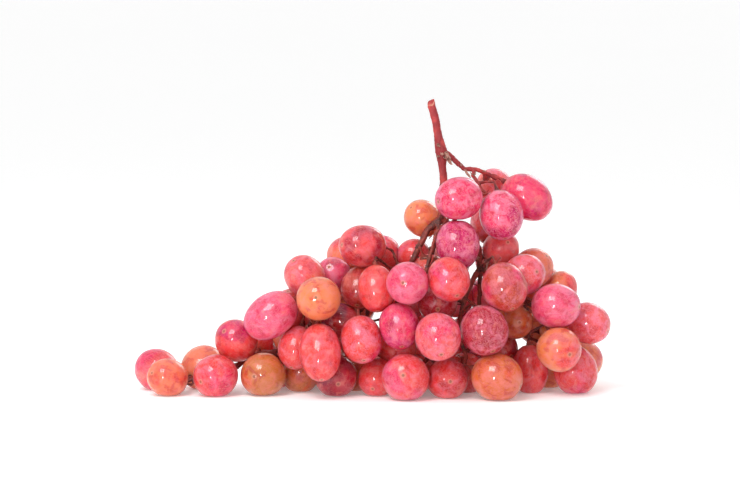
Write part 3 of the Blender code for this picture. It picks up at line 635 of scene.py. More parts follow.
# %% Notes for each berry: flesh, flush and bloom
NOTES = {
    "berry_01": ("salmon", "rose", 0.35),
    "berry_02": ("peach", "coral", 0.15),
    "berry_03": ("peach", "coral", 0.20),
    "berry_04": ("coral", "rose", 0.45),
    "berry_05": ("coral", "magenta", 0.20),
    "berry_06": ("olive", "amber", 0.15),
    "berry_07": ("pink", "pink", 0.55),
    "berry_08": ("salmon", "mauve", 0.20),
    "berry_09": ("coral", "ruby", 0.40),
    "berry_10": ("coral", "ruby", 0.30),
    "berry_11": ("crimson", "plum", 0.10),
    "berry_12": ("apricot", "peach", 0.15),
    "berry_13": ("salmon", "peach", 0.40),
    "berry_14": ("pink", "mauve", 0.60),
    "berry_15": ("coral", "crimson", 0.35),
    "berry_16": ("brick", "crimson", 0.20),
    "berry_17": ("coral", "ruby", 0.22),
    "berry_18": ("pink", "rose", 0.60),
    "berry_19": ("coral", "rose", 0.40),
    "berry_20": ("apricot", "peach", 0.20),
    "berry_21": ("coral", "rose", 0.55),
    "berry_22": ("rose", "magenta", 0.50),
    "berry_23": ("salmon", "rose", 0.60),
    "berry_24": ("crimson", "crimson", 0.65),
    "berry_25": ("brick", "rose", 0.40),
    "berry_26": ("magenta", "crimson", 0.75),
    "berry_27": ("rose", "magenta", 0.60),
    "berry_28": ("rose", "magenta", 0.85),
    "berry_29": ("rose", "magenta", 0.22),
    "berry_30": ("salmon", "salmon", 0.20),
    "berry_31": ("salmon", "pink", 0.60),
    "berry_32": ("peach", "pink", 0.40),
    "berry_33": ("pink", "pink", 0.55),
    "berry_34": ("apricot", "coral", 0.35),
    "berry_35": ("salmon", "pink", 0.60),
    "berry_36": ("coral", "pink", 0.45),
    "berry_37": ("coral", "ruby", 0.30),
    "berry_38": ("amber", "brick", 0.15),
    "berry_39": ("amber", "coral", 0.25),
    "berry_40": ("coral", "ruby", 0.35),
    "berry_41": ("coral", "rose", 0.50),
    "berry_42": ("coral", "coral", 0.30),
    "berry_43": ("ruby", "crimson", 0.35),
    "berry_44": ("ruby", "plum", 0.20),
    "cluster_01": ("coral", "rose", 0.30),
    "cluster_02": ("peach", "coral", 0.25),
    "cluster_03": ("salmon", "rose", 0.30),
    "cluster_04": ("peach", "coral", 0.30),
    "cluster_05": ("coral", "ruby", 0.30),
    "cluster_06": ("coral", "crimson", 0.35),
    "cluster_07": ("coral", "rose", 0.30),
    "cluster_08": ("coral", "brick", 0.30),
    "cluster_09": ("brick", "ruby", 0.25),
    "cluster_10": ("apricot", "coral", 0.30),
    "cluster_11": ("rose", "crimson", 0.40),
    "cluster_12": ("salmon", "rose", 0.40),
    "cluster_13": ("salmon", "pink", 0.65),
    "cluster_14": ("apricot", "salmon", 0.30),
    "cluster_15": ("amber", "olive", 0.20),
}
missing_notes = [name for name in frames if name not in NOTES]
print("notes:", len(NOTES), "nodes without a note:", missing_notes)

# %% [markdown]
# ## Growing and pressing the berries
#
# Each berry is grown by the tree and laid on its frame, with its dimple at the footstalk. Then
# the heap's weight is put in: wherever two skins would meet, both are pressed flat at the plane
# between them, and so is a skin on the table. A soft body simulation could do it in minutes, a
# soft limit does it in a second. Points well inside do not move, points beyond the plane stop
# just short of it, and the skin between them rounds over as a full berry's does.

# %% Sizes of the skins
SEED = 11
PLUMPNESS = 1.035  # a skin is this much bigger than its frame solid, until it is pressed
TAPER = 0.03
DIMPLE_DEPTH = 0.75 * MM
SCAR_DEPTH = 0.32 * MM
UNEVENNESS = 0.42 * MM
CONTACT_GAP = 0.04 * MM
CONTACT_ROUNDING = 0.30 * MM
NEIGHBOUR_REACH = 50.0 * MM
NEIGHBOUR_MARGIN = 2.0 * MM
draw = np.random.default_rng(SEED)


# %% Pressing
def press(points, plane_point, normal, limit, rounding=CONTACT_ROUNDING):
    """Holds points back at a plane, with a rounded shoulder. normal points out of the piece."""
    beyond = (points - plane_point) @ normal
    held = limit - rounding * np.logaddexp(0.0, (limit - beyond) / rounding)
    return points + np.outer(held - beyond, normal)


def read_points(mesh):
    """A mesh's points, one row each."""
    points = np.empty(len(mesh.vertices) * 3)
    mesh.vertices.foreach_get("co", points)
    return points.reshape(-1, 3)


def write_points(mesh, points):
    """Puts changed points back into their mesh."""
    mesh.vertices.foreach_set("co", points.ravel())
    mesh.update()


def reach(berry, direction):
    """How far a berry's skin is from its middle, along a direction."""
    _, axis, half_width, half_length = berry
    lean = abs(direction.dot(axis))
    return math.sqrt((half_length * lean) ** 2 + half_width**2 * (1 - lean**2))


def press_planes(berry):
    """The planes at which a berry meets its neighbours and the table."""
    planes = []
    for other in (item[1] for item in all_frames):
        between = other[0] - berry[0]
        distance = between.length
        if other is berry or distance > NEIGHBOUR_REACH:
            continue
        between.normalize()
        own, theirs = reach(berry, between), reach(other, between)
        if own + theirs > distance - NEIGHBOUR_MARGIN:
            planes.append((berry[0] + between * (distance + own - theirs) / 2, between))
    planes.append((Vector((0.0, 0.0, CONTACT_GAP)), Vector((0.0, 0.0, -1.0))))
    return planes


# %% One berry
def grow_berry(name, berry):
    """One berry's mesh, grown, laid on its frame and pressed."""
    middle, axis, half_width, half_length = berry
    flesh, flush, bloom = NOTES[name]
    seed = float(draw.uniform(0.0, 90.0))
    values = {
        "Half Width": PLUMPNESS * half_width * float(draw.uniform(0.99, 1.01)),
        "Half Length": PLUMPNESS * half_length,
        "Taper": TAPER * float(draw.uniform(-1.0, 1.0)),
        "Dimple Depth": DIMPLE_DEPTH,
        "Scar Depth": SCAR_DEPTH * float(draw.uniform(0.6, 1.2)),
        "Unevenness": UNEVENNESS,
        "Seed": seed,
        "Flesh": (*TINTS[flesh], 1.0),
        "Flush": (*TINTS[flush], 1.0),
        "Bloom": bloom * float(draw.uniform(0.85, 1.15)),
        "Skin": skins[nodes[name].data.materials[0].name],
    }
    mesh = run_tree(berry_tree, name, values)
    turn = axis.to_track_quat("Z", "Y").to_matrix().to_4x4()
    spin = Matrix.Rotation(seed, 4, "Z")
    mesh.transform(Matrix.Translation(middle) @ turn @ spin)
    points = read_points(mesh)
    for plane_point, normal in press_planes(berry):
        points = press(points, np.array(plane_point), np.array(normal), -CONTACT_GAP)
    write_points(mesh, points)
    return mesh


# %% Berries that share a piece
def join_meshes(name, meshes):
    """One piece from several meshes of the same material."""
    piece_mesh = meshes[0]
    if len(meshes) > 1:
        makers = [bpy.data.objects.new(name, mesh) for mesh in meshes]
        for maker in makers:
            scene.collection.objects.link(maker)
        with bpy.context.temp_override(
            active_object=makers[0], selected_editable_objects=makers
        ):
            bpy.ops.object.join()
        piece_mesh = makers[0].data
        bpy.data.objects.remove(makers[0])
    piece = bpy.data.objects.new(name, piece_mesh)
    scene.collection.objects.link(piece)
    return piece


# %% Grow every berry
pieces = []  # each finished piece, with its material's name and the frame node it replaces
for name in sorted(frames):
    grown = [grow_berry(name, berry) for berry in frames[name]]
    skin_piece = join_meshes(name.replace("berry", "grape").replace("cluster", "grapes"), grown)
    pieces.append((skin_piece, nodes[name].data.materials[0].name, name))
faces = sum(len(piece.data.polygons) for piece, slot, name in pieces)
print("berries grown:", len(all_frames), "in", len(pieces), "pieces,", faces, "faces")

# %% [markdown]
# ## The wood
#
# The stem is one woody plant part: a smooth red stalk, cut off at a slant, that turns to dark,
# rough, knobbly twigs among the fruit. Two materials with a border between them would show a
# seam. One material that changes with height, along a border that wanders, doesn't, and both
# kinds of wood can share the same fibres and grit.

# %% Wood colours
STALK_FROM = 0.096  # below this height the wood is dark, above STALK_TO it is red
STALK_TO = 0.112
STALK_EDGE_WANDER = 24.0  # how far the border between the two strays, in millimetres
STALK_RED = (0.25, 0.011, 0.016, 1.0)
STALK_ROSE = (0.46, 0.040, 0.038, 1.0)
TWIG_DARK = (0.060, 0.009, 0.007, 1.0)
TWIG_BROWN = (0.27, 0.032, 0.022, 1.0)
TWIG_TAN = (0.43, 0.105, 0.068, 1.0)
PITH = (0.52, 0.21, 0.14, 1.0)
# painted shade: the dark middle of the flat cut stands in for the shade inside the hollow pith
CUT_HOLE_SHADE = (0.09, 0.025, 0.015, 1.0)


# %% Wood material
def make_wood():
    """The stem's material: red stalk, dark twigs, a pale cut, and painted shade in its middle."""
    material, tree, shader = plain_material("grape_wood")
    spot = scaled(tree, tree.nodes.new("ShaderNodeTexCoord").outputs["Object"], 1.0 / MM)
    height = add_node(tree, "ShaderNodeSeparateXYZ", {0: spot}).outputs[2]
    broad = cloud(tree, spot, 0.16, 3.0, 0.5)
    fibre = cloud(tree, vector_calc(tree, "MULTIPLY", spot, (2.2, 2.2, 0.35)), 1.0, 4.0, 0.3)
    grit = cloud(tree, spot, 2.4, 5.0, 0.2)
    stalk = blend(tree, ramp(tree, broad, 0.42, 0.66), STALK_RED, STALK_ROSE)
    twig = blend(tree, ramp(tree, broad, 0.36, 0.58), TWIG_DARK, TWIG_BROWN)
    twig = blend(tree, ramp(tree, fibre, 0.52, 0.72, 0.0, 0.75), twig, TWIG_TAN)
    wander = calc(tree, "SUBTRACT", broad, 0.5)
    height = calc(tree, "MULTIPLY_ADD", wander, STALK_EDGE_WANDER, height)
    on_stalk = ramp(tree, height, STALK_FROM / MM, STALK_TO / MM)
    colour = blend(tree, on_stalk, twig, stalk)
    colour = blend(tree, ramp(tree, grit, 0.56, 0.74, 0.0, 0.5), colour, TWIG_DARK)
    colour = blend(tree, ramp(tree, grit, 0.42, 0.28, 0.0, 0.35), colour, TWIG_TAN)
    pith = add_node(tree, "ShaderNodeAttribute", attribute_name="pith").outputs["Fac"]
    colour = blend(tree, ramp(tree, pith, 0.12, 0.24), colour, PITH)
    # painted shade: the cut's middle is darkened as if it were a shaded hollow
    colour = blend(tree, ramp(tree, pith, 0.52, 0.72), colour, CUT_HOLE_SHADE)
    tree.links.new(colour, shader.inputs["Base Color"])
    tree.links.new(ramp(tree, fibre, 0.3, 0.7, 0.42, 0.75), shader.inputs["Roughness"])
    relief = calc(tree, "MULTIPLY_ADD", grit, 0.5, fibre)
    bump = add_node(
        tree, "ShaderNodeBump", {"Height": relief, "Strength": 0.5, "Distance": 0.25 * MM}
    )
    tree.links.new(bump.outputs[0], shader.inputs["Normal"])
    sockets = {
        "Subsurface Weight": 0.1,
        "Subsurface Radius": (1.0, 0.4, 0.3),
        "Subsurface Scale": 0.6 * MM,
    }
    set_sockets(shader, sockets)
    return material


wood = make_wood()
print("wood:", len(wood.node_tree.nodes), "nodes")

# %% [markdown]
# ## Melting the joints
#
# On the vine one twig grows out of another with a full, rounded fork. The frame's solid has flat
# sides and hard corners there. Bevels would have to be fitted fork by fork. A voxel remesh melts
# the whole stem into one even skin instead, and a smoothing rounds what was flat.

# %% Melt and smooth the frame's stem
WOOD_VOXEL = 0.30 * MM
SMOOTHING_ROUNDS = 5
SMOOTHING_FACTOR = 0.5


def evaluated_mesh(source, modifiers):
    """The mesh of a source after some modifiers, given as (kind, settings)."""
    maker = bpy.data.objects.new("maker", source)
    scene.collection.objects.link(maker)
    for kind, settings in modifiers:
        modifier = maker.modifiers.new(kind, kind)
        for key, value in settings.items():
            setattr(modifier, key, value)
    bpy.context.view_layer.update()
    result = maker.evaluated_get(bpy.context.evaluated_depsgraph_get())
    mesh = bpy.data.meshes.new_from_object(result)
    bpy.data.objects.remove(maker)
    return mesh


bm = welded(stem_node.data)
stem_copy = bpy.data.meshes.new("stem_copy")
bm.to_mesh(stem_copy)
bm.free()
melted = evaluated_mesh(
    stem_copy,
    [
        ("REMESH", {"mode": "VOXEL", "voxel_size": WOOD_VOXEL}),
        ("SMOOTH", {"factor": SMOOTHING_FACTOR, "iterations": SMOOTHING_ROUNDS}),
    ],
)
print("melted stem:", len(melted.polygons), "faces")

# %% [markdown]
# ## The bark
#
# The stalk has fine long grooves, and the twigs are lumpy and rough all over. A bump in the
# material would leave the outline smooth, and on twigs this thin the outline is most of what is
# seen. So a small Geometry Nodes tree moves the points themselves, with grooves where the wood
# is stalk and lumps where it is twig.

# %% The bark tree
GROOVE_SCALE = 1100.0  # grooves per metre, in the noise's own measure
LUMP_SCALE = 330.0
GRIT_SCALE = 1500.0
bark_tree, given, end = new_tree(
    "bark",
    [
        ("Groove Depth", NUMBER),
        ("Lump Height", NUMBER),
        ("Grit Height", NUMBER),
        ("Seed", NUMBER),
        ("Wood", FINISH),
    ],
    takes_mesh=True,
)
tree = bark_tree
place = tree.nodes.new("GeometryNodeInputPosition").outputs[0]
normal = tree.nodes.new("GeometryNodeInputNormal").outputs[0]
height = add_node(tree, "ShaderNodeSeparateXYZ", {0: place}).outputs[2]
on_stalk = ramp(tree, height, STALK_FROM, STALK_TO)


def relief_noise(tree, seed, vector, scale):
    """Noise from -0.5 to 0.5, shifted by a seed."""
    feeds = {"Vector": vector, "W": seed, "Scale": scale, "Detail": 2.0}
    noise = add_node(tree, "ShaderNodeTexNoise", feeds, noise_dimensions="4D").outputs[0]
    return calc(tree, "SUBTRACT", noise, 0.5)


stretched = vector_calc(tree, "MULTIPLY", place, (1.0, 1.0, 0.10))
grooves = relief_noise(tree, given["Seed"], stretched, GROOVE_SCALE)
grooves = product(tree, grooves, given["Groove Depth"], on_stalk)
lumps = relief_noise(tree, given["Seed"], place, LUMP_SCALE)
off_stalk = calc(tree, "MULTIPLY_ADD", on_stalk, -0.5, 1.0)
lumps = product(tree, lumps, given["Lump Height"], off_stalk)
grit = relief_noise(tree, given["Seed"], place, GRIT_SCALE)
grit = calc(tree, "MULTIPLY", grit, given["Grit Height"])
offset = scaled(tree, normal, calc(tree, "ADD", calc(tree, "ADD", grooves, lumps), grit))
raised = add_node(
    tree, "GeometryNodeSetPosition", {"Geometry": given["Geometry"], "Offset": offset}
)
finish_tree(tree, raised.outputs[0], given["Wood"], end)

# %% Raise the bark
bark_values = {
    "Groove Depth": 0.7 * MM,
    "Lump Height": 1.5 * MM,
    "Grit Height": 0.35 * MM,
    "Seed": 4.0,
    "Wood": wood,
}
stem_wood = run_tree(bark_tree, "stem_wood", bark_values, melted)
print("bark raised on", len(stem_wood.vertices), "points")

# %% [markdown]
# ## The cut
#
# The stalk was snipped off at a slant. A boolean cut would leave a knife's edge, so the points
# of the stalk's top are pressed to a slanting plane, in the way the berries were. A value is
# stored there that runs from 0 at the bark to 1 in the middle. The wood's colours read it: a
# ring of paler wood, and a dark middle that is painted shade, where the hollow pith would lie.

# %% Cut the stalk's top
CUT_NORMAL = Vector((-0.50, -0.60, 0.62)).normalized()
CUT_DROP = 2.2 * MM  # the cut's middle lies this far under the frame's top
CUT_EDGE = 0.1 * MM
CUT_ROUNDING = 0.08 * MM
TOP_STRETCH = 8.0 * MM  # only the top of the stalk is pressed
TOP_LEVEL = 6.0 * MM  # the frame's points this near its top give the stalk's middle
STALK_REACH = 14.0 * MM
PITH_REACH = 2.56 * MM  # where the pith's value comes down to 0, just outside the bark

stalk_top = cad_box[1][2]
spots = read_points(stem_node.data)
top = spots[spots[:, 2].argmax()]
near_level = np.abs(spots[:, 2] - stalk_top) < TOP_LEVEL
near_stalk = np.hypot(spots[:, 0] - top[0], spots[:, 1] - top[1]) < STALK_REACH
cut_point = spots[near_level & near_stalk].mean(0)
cut_point[2] = stalk_top - CUT_DROP
points = read_points(stem_wood)
cut_normal = np.array(CUT_NORMAL)
beyond = (points - cut_point) @ cut_normal
near_top = points[:, 2] > stalk_top - TOP_STRETCH
on_cut = near_top & (beyond > -CUT_EDGE)
pressed = press(points, cut_point, cut_normal, 0.0, CUT_ROUNDING)
points[near_top] = pressed[near_top]
write_points(stem_wood, points)
from_axis = points - cut_point
from_axis -= np.outer(from_axis @ cut_normal, cut_normal)
pith = np.where(on_cut, 1.0 - np.linalg.norm(from_axis, axis=1) / PITH_REACH, 0.0)
stored_pith = stem_wood.attributes.new("pith", "FLOAT", "POINT")
stored_pith.data.foreach_set("value", np.clip(pith, 0.0, 1.0).astype(np.float32))
print("points on the cut:", int(on_cut.sum()))

# %% [markdown]
# ## Collars
#
# Where a footstalk meets its berry it spreads into a warty collar that sits in the berry's
# dimple. There is one on every berry, so it is one small shape put on many points by a Geometry
# Nodes tree. Each point remembers which way its berry lies, and the tree turns the collar to it
# and varies its size by a fixed seed.

# %% Collar sizes and helpers for what repeats
COLLAR_SEGMENTS = 18
COLLAR_RINGS = 10
COLLAR_SIZES = (0.85, 1.15)
COLLAR_WARTS = 1250.0  # warts per metre, in the pattern's own measure


def random_between(tree, sizes, seed):
    """A random number between two sizes, a different one at each point."""
    made = add_node(tree, "FunctionNodeRandomValue", {"Seed": seed}, data_type="FLOAT")
    made.inputs[2].default_value, made.inputs[3].default_value = sizes
    return made.outputs[1]


def put_on_points(tree, points, shape, rotation, scale):
    """One shape on every point."""
    feeds = {"Points": points, "Instance": shape, "Rotation": rotation, "Scale": scale}
    return add_node(tree, "GeometryNodeInstanceOnPoints", feeds).outputs[0]


# %% Collar tree
collar_tree, given, end = new_tree(
    "collars",
    [
        ("Radius", NUMBER),
        ("Thickness", NUMBER),
        ("Wart Height", NUMBER),
        ("Seed", WHOLE),
        ("Wood", FINISH),
    ],
    takes_mesh=True,
)
tree = collar_tree
disc = add_node(
    tree,
    "GeometryNodeMeshUVSphere",
    {"Segments": COLLAR_SEGMENTS, "Rings": COLLAR_RINGS, "Radius": 1.0},
)
size = add_node(
    tree,
    "ShaderNodeCombineXYZ",
    {"X": given["Radius"], "Y": given["Radius"], "Z": given["Thickness"]},
)
facing = add_node(
    tree, "GeometryNodeInputNamedAttribute", {"Name": "facing"}, data_type="FLOAT_VECTOR"
)
turned = add_node(
    tree, "FunctionNodeAlignRotationToVector", {"Vector": facing.outputs[0]}, axis="Z"
)
varied = random_between(tree, COLLAR_SIZES, given["Seed"])
size = scaled(tree, size.outputs[0], varied)
placed = put_on_points(tree, given["Geometry"], disc.outputs["Mesh"], turned.outputs[0], size)
real = add_node(tree, "GeometryNodeRealizeInstances", {"Geometry": placed})
place = tree.nodes.new("GeometryNodeInputPosition").outputs[0]
normal = tree.nodes.new("GeometryNodeInputNormal").outputs[0]
warts = add_node(tree, "ShaderNodeTexVoronoi", {"Vector": place, "Scale": COLLAR_WARTS})
bulge = ramp(tree, warts.outputs["Distance"], 0.55, 0.1)
offset = scaled(tree, normal, calc(tree, "MULTIPLY", bulge, given["Wart Height"]))
raised = add_node(tree, "GeometryNodeSetPosition", {"Geometry": real.outputs[0], "Offset": offset})
finish_tree(tree, raised.outputs[0], given["Wood"], end)

# %% Grow the collars
COLLAR_SINK = 0.45 * MM  # how deep a collar's middle lies under the berry's end


def points_mesh(name, places, facings):
    """A mesh of loose points that each remember which way they face."""
    mesh = bpy.data.meshes.new(name)
    mesh.from_pydata(places, [], [])
    stored_facing = mesh.attributes.new("facing", "FLOAT_VECTOR", "POINT")
    stored_facing.data.foreach_set("vector", np.array(facings, np.float32).ravel())
    return mesh


stem_ends = [
    middle - axis * (half_length - COLLAR_SINK)
    for name, (middle, axis, half_width, half_length) in all_frames
]
stemwards = [-axis for name, (middle, axis, half_width, half_length) in all_frames]
collar_points = points_mesh("collar_points", stem_ends, stemwards)
collar_values = {
    "Radius": 1.95 * MM,
    "Thickness": 0.95 * MM,
    "Wart Height": 0.42 * MM,
    "Seed": 5,
    "Wood": wood,
}
collars = run_tree(collar_tree, "collars", collar_values, collar_points)
print("collars:", len(collars.polygons), "faces")

# %% [markdown]
# ## Warts and stubs
#
# All along the twigs there are small corky warts, and the dry stubs of flowers that never set
# fruit. They could be placed one by one, but there are hundreds, and their places follow no
# plan. One tree scatters both over the wood, by so many to a square millimetre, and lets each
# stand away from the wood under it.

# %% Wart and stub sizes
PER_MM2 = 1.0 / MM**2
WARTS_ON_STALK = 0.3  # beside those on the twigs
WART_SIZES = (0.5, 1.4)
WART_SHAPE = (1.0, 1.0, 0.6)
STUBS_ON_STALK = 0.0
STUB_SIZES = (0.5, 1.3)
STUB_POINTS = 7
STUB_SIDES = 6
STUB_ROOT = 0.13  # radius at the root, all of these beside the stub's length
STUB_SLIMMING = 0.07  # how much slimmer it is at the tip
STUB_KNOB = 0.09  # what the knob at the tip adds
STUB_BEND = 0.45


# %% Scattering
def scatter(tree, given, per_mm2, shift, stalk_share):
    """Points on the wood, each with a turn that lets a shape on it stand away from the wood."""
    place = tree.nodes.new("GeometryNodeInputPosition").outputs[0]
    height = add_node(tree, "ShaderNodeSeparateXYZ", {0: place}).outputs[2]
    off_stalk = ramp(tree, height, STALK_TO, STALK_FROM, stalk_share, 1.0)
    feeds = {
        "Mesh": given["Geometry"],
        "Density": product(tree, given[per_mm2], PER_MM2, off_stalk),
        "Seed": calc(tree, "ADD", given["Seed"], shift),
    }
    return add_node(tree, "GeometryNodeDistributePointsOnFaces", feeds).outputs


# %% Wart and stub tree
sprout_tree, given, end = new_tree(
    "sprouts",
    [
        ("Warts per mm2", NUMBER),
        ("Wart Radius", NUMBER),
        ("Stubs per mm2", NUMBER),
        ("Stub Length", NUMBER),
        ("Seed", WHOLE),
        ("Wood", FINISH),
    ],
    takes_mesh=True,
)
tree = sprout_tree
wart = add_node(tree, "GeometryNodeMeshIcoSphere", {"Radius": 1.0, "Subdivisions": 2})
spread = scatter(tree, given, "Warts per mm2", 1.0, WARTS_ON_STALK)
varied = random_between(tree, WART_SIZES, calc(tree, "ADD", given["Seed"], 2.0))
size = scaled(tree, WART_SHAPE, calc(tree, "MULTIPLY", given["Wart Radius"], varied))
warts = put_on_points(tree, spread["Points"], wart.outputs["Mesh"], spread["Rotation"], size)

line = add_node(tree, "GeometryNodeCurvePrimitiveLine", {"Start": (0, 0, -0.1), "End": (0, 0, 1)})
feeds = {"Curve": line.outputs[0], "Count": STUB_POINTS}
line = add_node(tree, "GeometryNodeResampleCurve", feeds)
along = tree.nodes.new("GeometryNodeSplineParameter").outputs["Factor"]
bend = add_node(
    tree, "ShaderNodeCombineXYZ", {"X": product(tree, along, along, STUB_BEND)}
).outputs[0]
line = add_node(tree, "GeometryNodeSetPosition", {"Geometry": line.outputs[0], "Offset": bend})
girth = calc(tree, "MULTIPLY_ADD", along, -STUB_SLIMMING, STUB_ROOT)
knob = calc(tree, "MULTIPLY", calc(tree, "POWER", along, 6.0), STUB_KNOB)
girth = calc(tree, "ADD", girth, knob)
ring = add_node(
    tree, "GeometryNodeCurvePrimitiveCircle", {"Resolution": STUB_SIDES, "Radius": 1.0}
)
stub = add_node(
    tree,
    "GeometryNodeCurveToMesh",
    {
        "Curve": line.outputs[0],
        "Profile Curve": ring.outputs[0],
        "Scale": girth,
        "Fill Caps": True,
    },
)
spread = scatter(tree, given, "Stubs per mm2", 3.0, STUBS_ON_STALK)
varied = random_between(tree, STUB_SIZES, calc(tree, "ADD", given["Seed"], 4.0))
size = scaled(tree, (1.0, 1.0, 1.0), calc(tree, "MULTIPLY", given["Stub Length"], varied))
stubs = put_on_points(tree, spread["Points"], stub.outputs[0], spread["Rotation"], size)
both = tree.nodes.new("GeometryNodeJoinGeometry")
tree.links.new(warts, both.inputs[0])
tree.links.new(stubs, both.inputs[0])
finish_tree(tree, both.outputs[0], given["Wood"], end)

# %% Grow the warts and stubs
sprout_values = {
    "Warts per mm2": 0.16,
    "Wart Radius": 0.30 * MM,
    "Stubs per mm2": 0.012,
    "Stub Length": 2.6 * MM,
    "Seed": 9,
    "Wood": wood,
}
sprouts = run_tree(sprout_tree, "sprouts", sprout_values, stem_wood.copy())
print("warts and stubs:", len(sprouts.polygons), "faces")

# %% [markdown]
# ## Dry scraps
#
# A vine carries small papery bracts where its stem branches. On a picked bunch they are dead
# scraps: narrow sheets that curl away from the wood. They stand off it, so paint won't do, and
# each has its own curl, so copies of one won't either. One tree makes a scrap from a flat grid,
# rolled along an arc and cupped across, and the script lays each scrap on the wood nearest to
# where it belongs: a long one hangs beside the stalk's knot, others sit at forks, and the last
# lie anywhere on the twigs.

# %% Scrap tree
SCRAP_COLUMNS = 7
SCRAP_ROWS = 22
SCRAP_CUP = 1.6  # how far the edges stand up, beside the width
TEAR_SCALE = 1.6
TEAR_STRETCH = (1.2, 3.5, 1.0)
scrap_tree, given, end = new_tree(
    "dry_scrap",
    [
        ("Length", NUMBER),
        ("Width", NUMBER),
        ("Curl", NUMBER),
        ("Raggedness", NUMBER),
        ("Seed", NUMBER),
        ("Paper", FINISH),
    ],
)
tree = scrap_tree
sheet = add_node(
    tree,
    "GeometryNodeMeshGrid",
    {"Size X": 1.0, "Size Y": 1.0, "Vertices X": SCRAP_COLUMNS, "Vertices Y": SCRAP_ROWS},
)
place = tree.nodes.new("GeometryNodeInputPosition").outputs[0]
flat = add_node(tree, "ShaderNodeSeparateXYZ", {0: place})
across = flat.outputs[0]
along = calc(tree, "ADD", flat.outputs[1], 0.5)
stretched = vector_calc(tree, "MULTIPLY", place, TEAR_STRETCH)
tear = relief_noise(tree, given["Seed"], stretched, TEAR_SCALE)
turn = calc(tree, "MULTIPLY", along, given["Curl"])
arc = calc(tree, "DIVIDE", given["Length"], given["Curl"])
broadening = calc(tree, "SQRT", calc(tree, "MULTIPLY_ADD", along, 0.95, 0.05))
narrowing = calc(tree, "MULTIPLY_ADD", along, -1.3, 1.5)
wide = calc(tree, "MULTIPLY", given["Width"], calc(tree, "MULTIPLY", broadening, narrowing))
torn = calc(tree, "MULTIPLY", tear, given["Raggedness"])
rise = calc(tree, "SUBTRACT", 1.0, calc(tree, "COSINE", turn))
shape = add_node(
    tree,
    "ShaderNodeCombineXYZ",
    {
        "X": product(tree, across, wide, calc(tree, "ADD", torn, 1.0)),
        "Y": calc(tree, "MULTIPLY", calc(tree, "SINE", turn), arc),
        "Z": calc(tree, "MULTIPLY", rise, arc),
    },
)
cup = product(tree, across, across, wide, SCRAP_CUP)
lift = calc(tree, "MULTIPLY_ADD", calc(tree, "MULTIPLY", torn, given["Width"]), 0.5, cup)
lift = add_node(tree, "ShaderNodeCombineXYZ", {"Z": lift}).outputs[0]
laid = add_node(
    tree,
    "GeometryNodeSetPosition",
    {"Geometry": sheet.outputs[0], "Position": shape.outputs[0], "Offset": lift},
)
finish_tree(tree, laid.outputs[0], given["Paper"], end)


# %% Scrap material
PAPER_BROWN = (0.16, 0.050, 0.040, 1.0)
PAPER_TAN = (0.46, 0.23, 0.17, 1.0)
PAPER_PALE = (0.52, 0.30, 0.25, 1.0)
PAPER_DARK = (0.075, 0.020, 0.018, 1.0)


def make_paper():
    """The dry scraps' material: brown fibres with pale and dark places."""
    material, tree, shader = plain_material("dry_scrap")
    spot = scaled(tree, tree.nodes.new("ShaderNodeTexCoord").outputs["Object"], 1.0 / MM)
    fibre = cloud(tree, vector_calc(tree, "MULTIPLY", spot, (3.0, 3.0, 0.7)), 1.0, 4.0, 0.4)
    broad = cloud(tree, spot, 0.45, 3.0, 0.4)
    colour = blend(tree, ramp(tree, fibre, 0.36, 0.64), PAPER_BROWN, PAPER_TAN)
    colour = blend(tree, ramp(tree, broad, 0.52, 0.66, 0.0, 0.7), colour, PAPER_PALE)
    colour = blend(tree, ramp(tree, broad, 0.44, 0.30, 0.0, 0.8), colour, PAPER_DARK)
    tree.links.new(colour, shader.inputs["Base Color"])
    tree.links.new(ramp(tree, fibre, 0.3, 0.7, 0.55, 0.85), shader.inputs["Roughness"])
    bump = add_node(
        tree, "ShaderNodeBump", {"Height": fibre, "Strength": 0.6, "Distance": 0.2 * MM}
    )
    tree.links.new(bump.outputs[0], shader.inputs["Normal"])
    return material


paper = make_paper()
print("paper:", len(paper.node_tree.nodes), "nodes")

# %% Lay the scraps on the wood
SCRAP_THICKNESS = 0.28 * MM
SCRAP_SINK = 0.35 * MM
SCRAP_RAGGEDNESS = 1.1
LOOSE_SCRAPS = 26
LOOSE_LENGTHS = (2.5, 5.5)  # millimetres
LOOSE_WIDTHS = (1.0, 2.4)
LOOSE_CURLS = (0.8, 2.6)
LOOSE_SEED = 20.0  # the first of their seeds
wood_points = read_points(stem_wood)


def lay_scrap(wanted, along, away, length, width, curl, seed):
    """A scrap rooted in the wood nearest to a place, running one way and facing another.

    The place, the length and the width are in millimetres.
    """
    nearest = int(np.linalg.norm(wood_points - np.array(wanted) * MM, axis=1).argmin())
    along = Vector(along).normalized()
    side = along.cross(Vector(away)).normalized()
    away = side.cross(along)
    values = {
        "Length": length * MM,
        "Width": width * MM,
        "Curl": curl,
        "Raggedness": SCRAP_RAGGEDNESS,
        "Seed": seed,
        "Paper": paper,
    }
    sheet = run_tree(scrap_tree, "scrap", values)
    settings = {"thickness": SCRAP_THICKNESS, "offset": 0.0}
    scrap = evaluated_mesh(sheet, [("SOLIDIFY", settings)])
    root = Vector(wood_points[nearest]) - stem_wood.vertices[nearest].normal * SCRAP_SINK
    turn = Matrix((side, along, away)).transposed().to_4x4()
    scrap.transform(Matrix.Translation(root) @ turn)
    return scrap


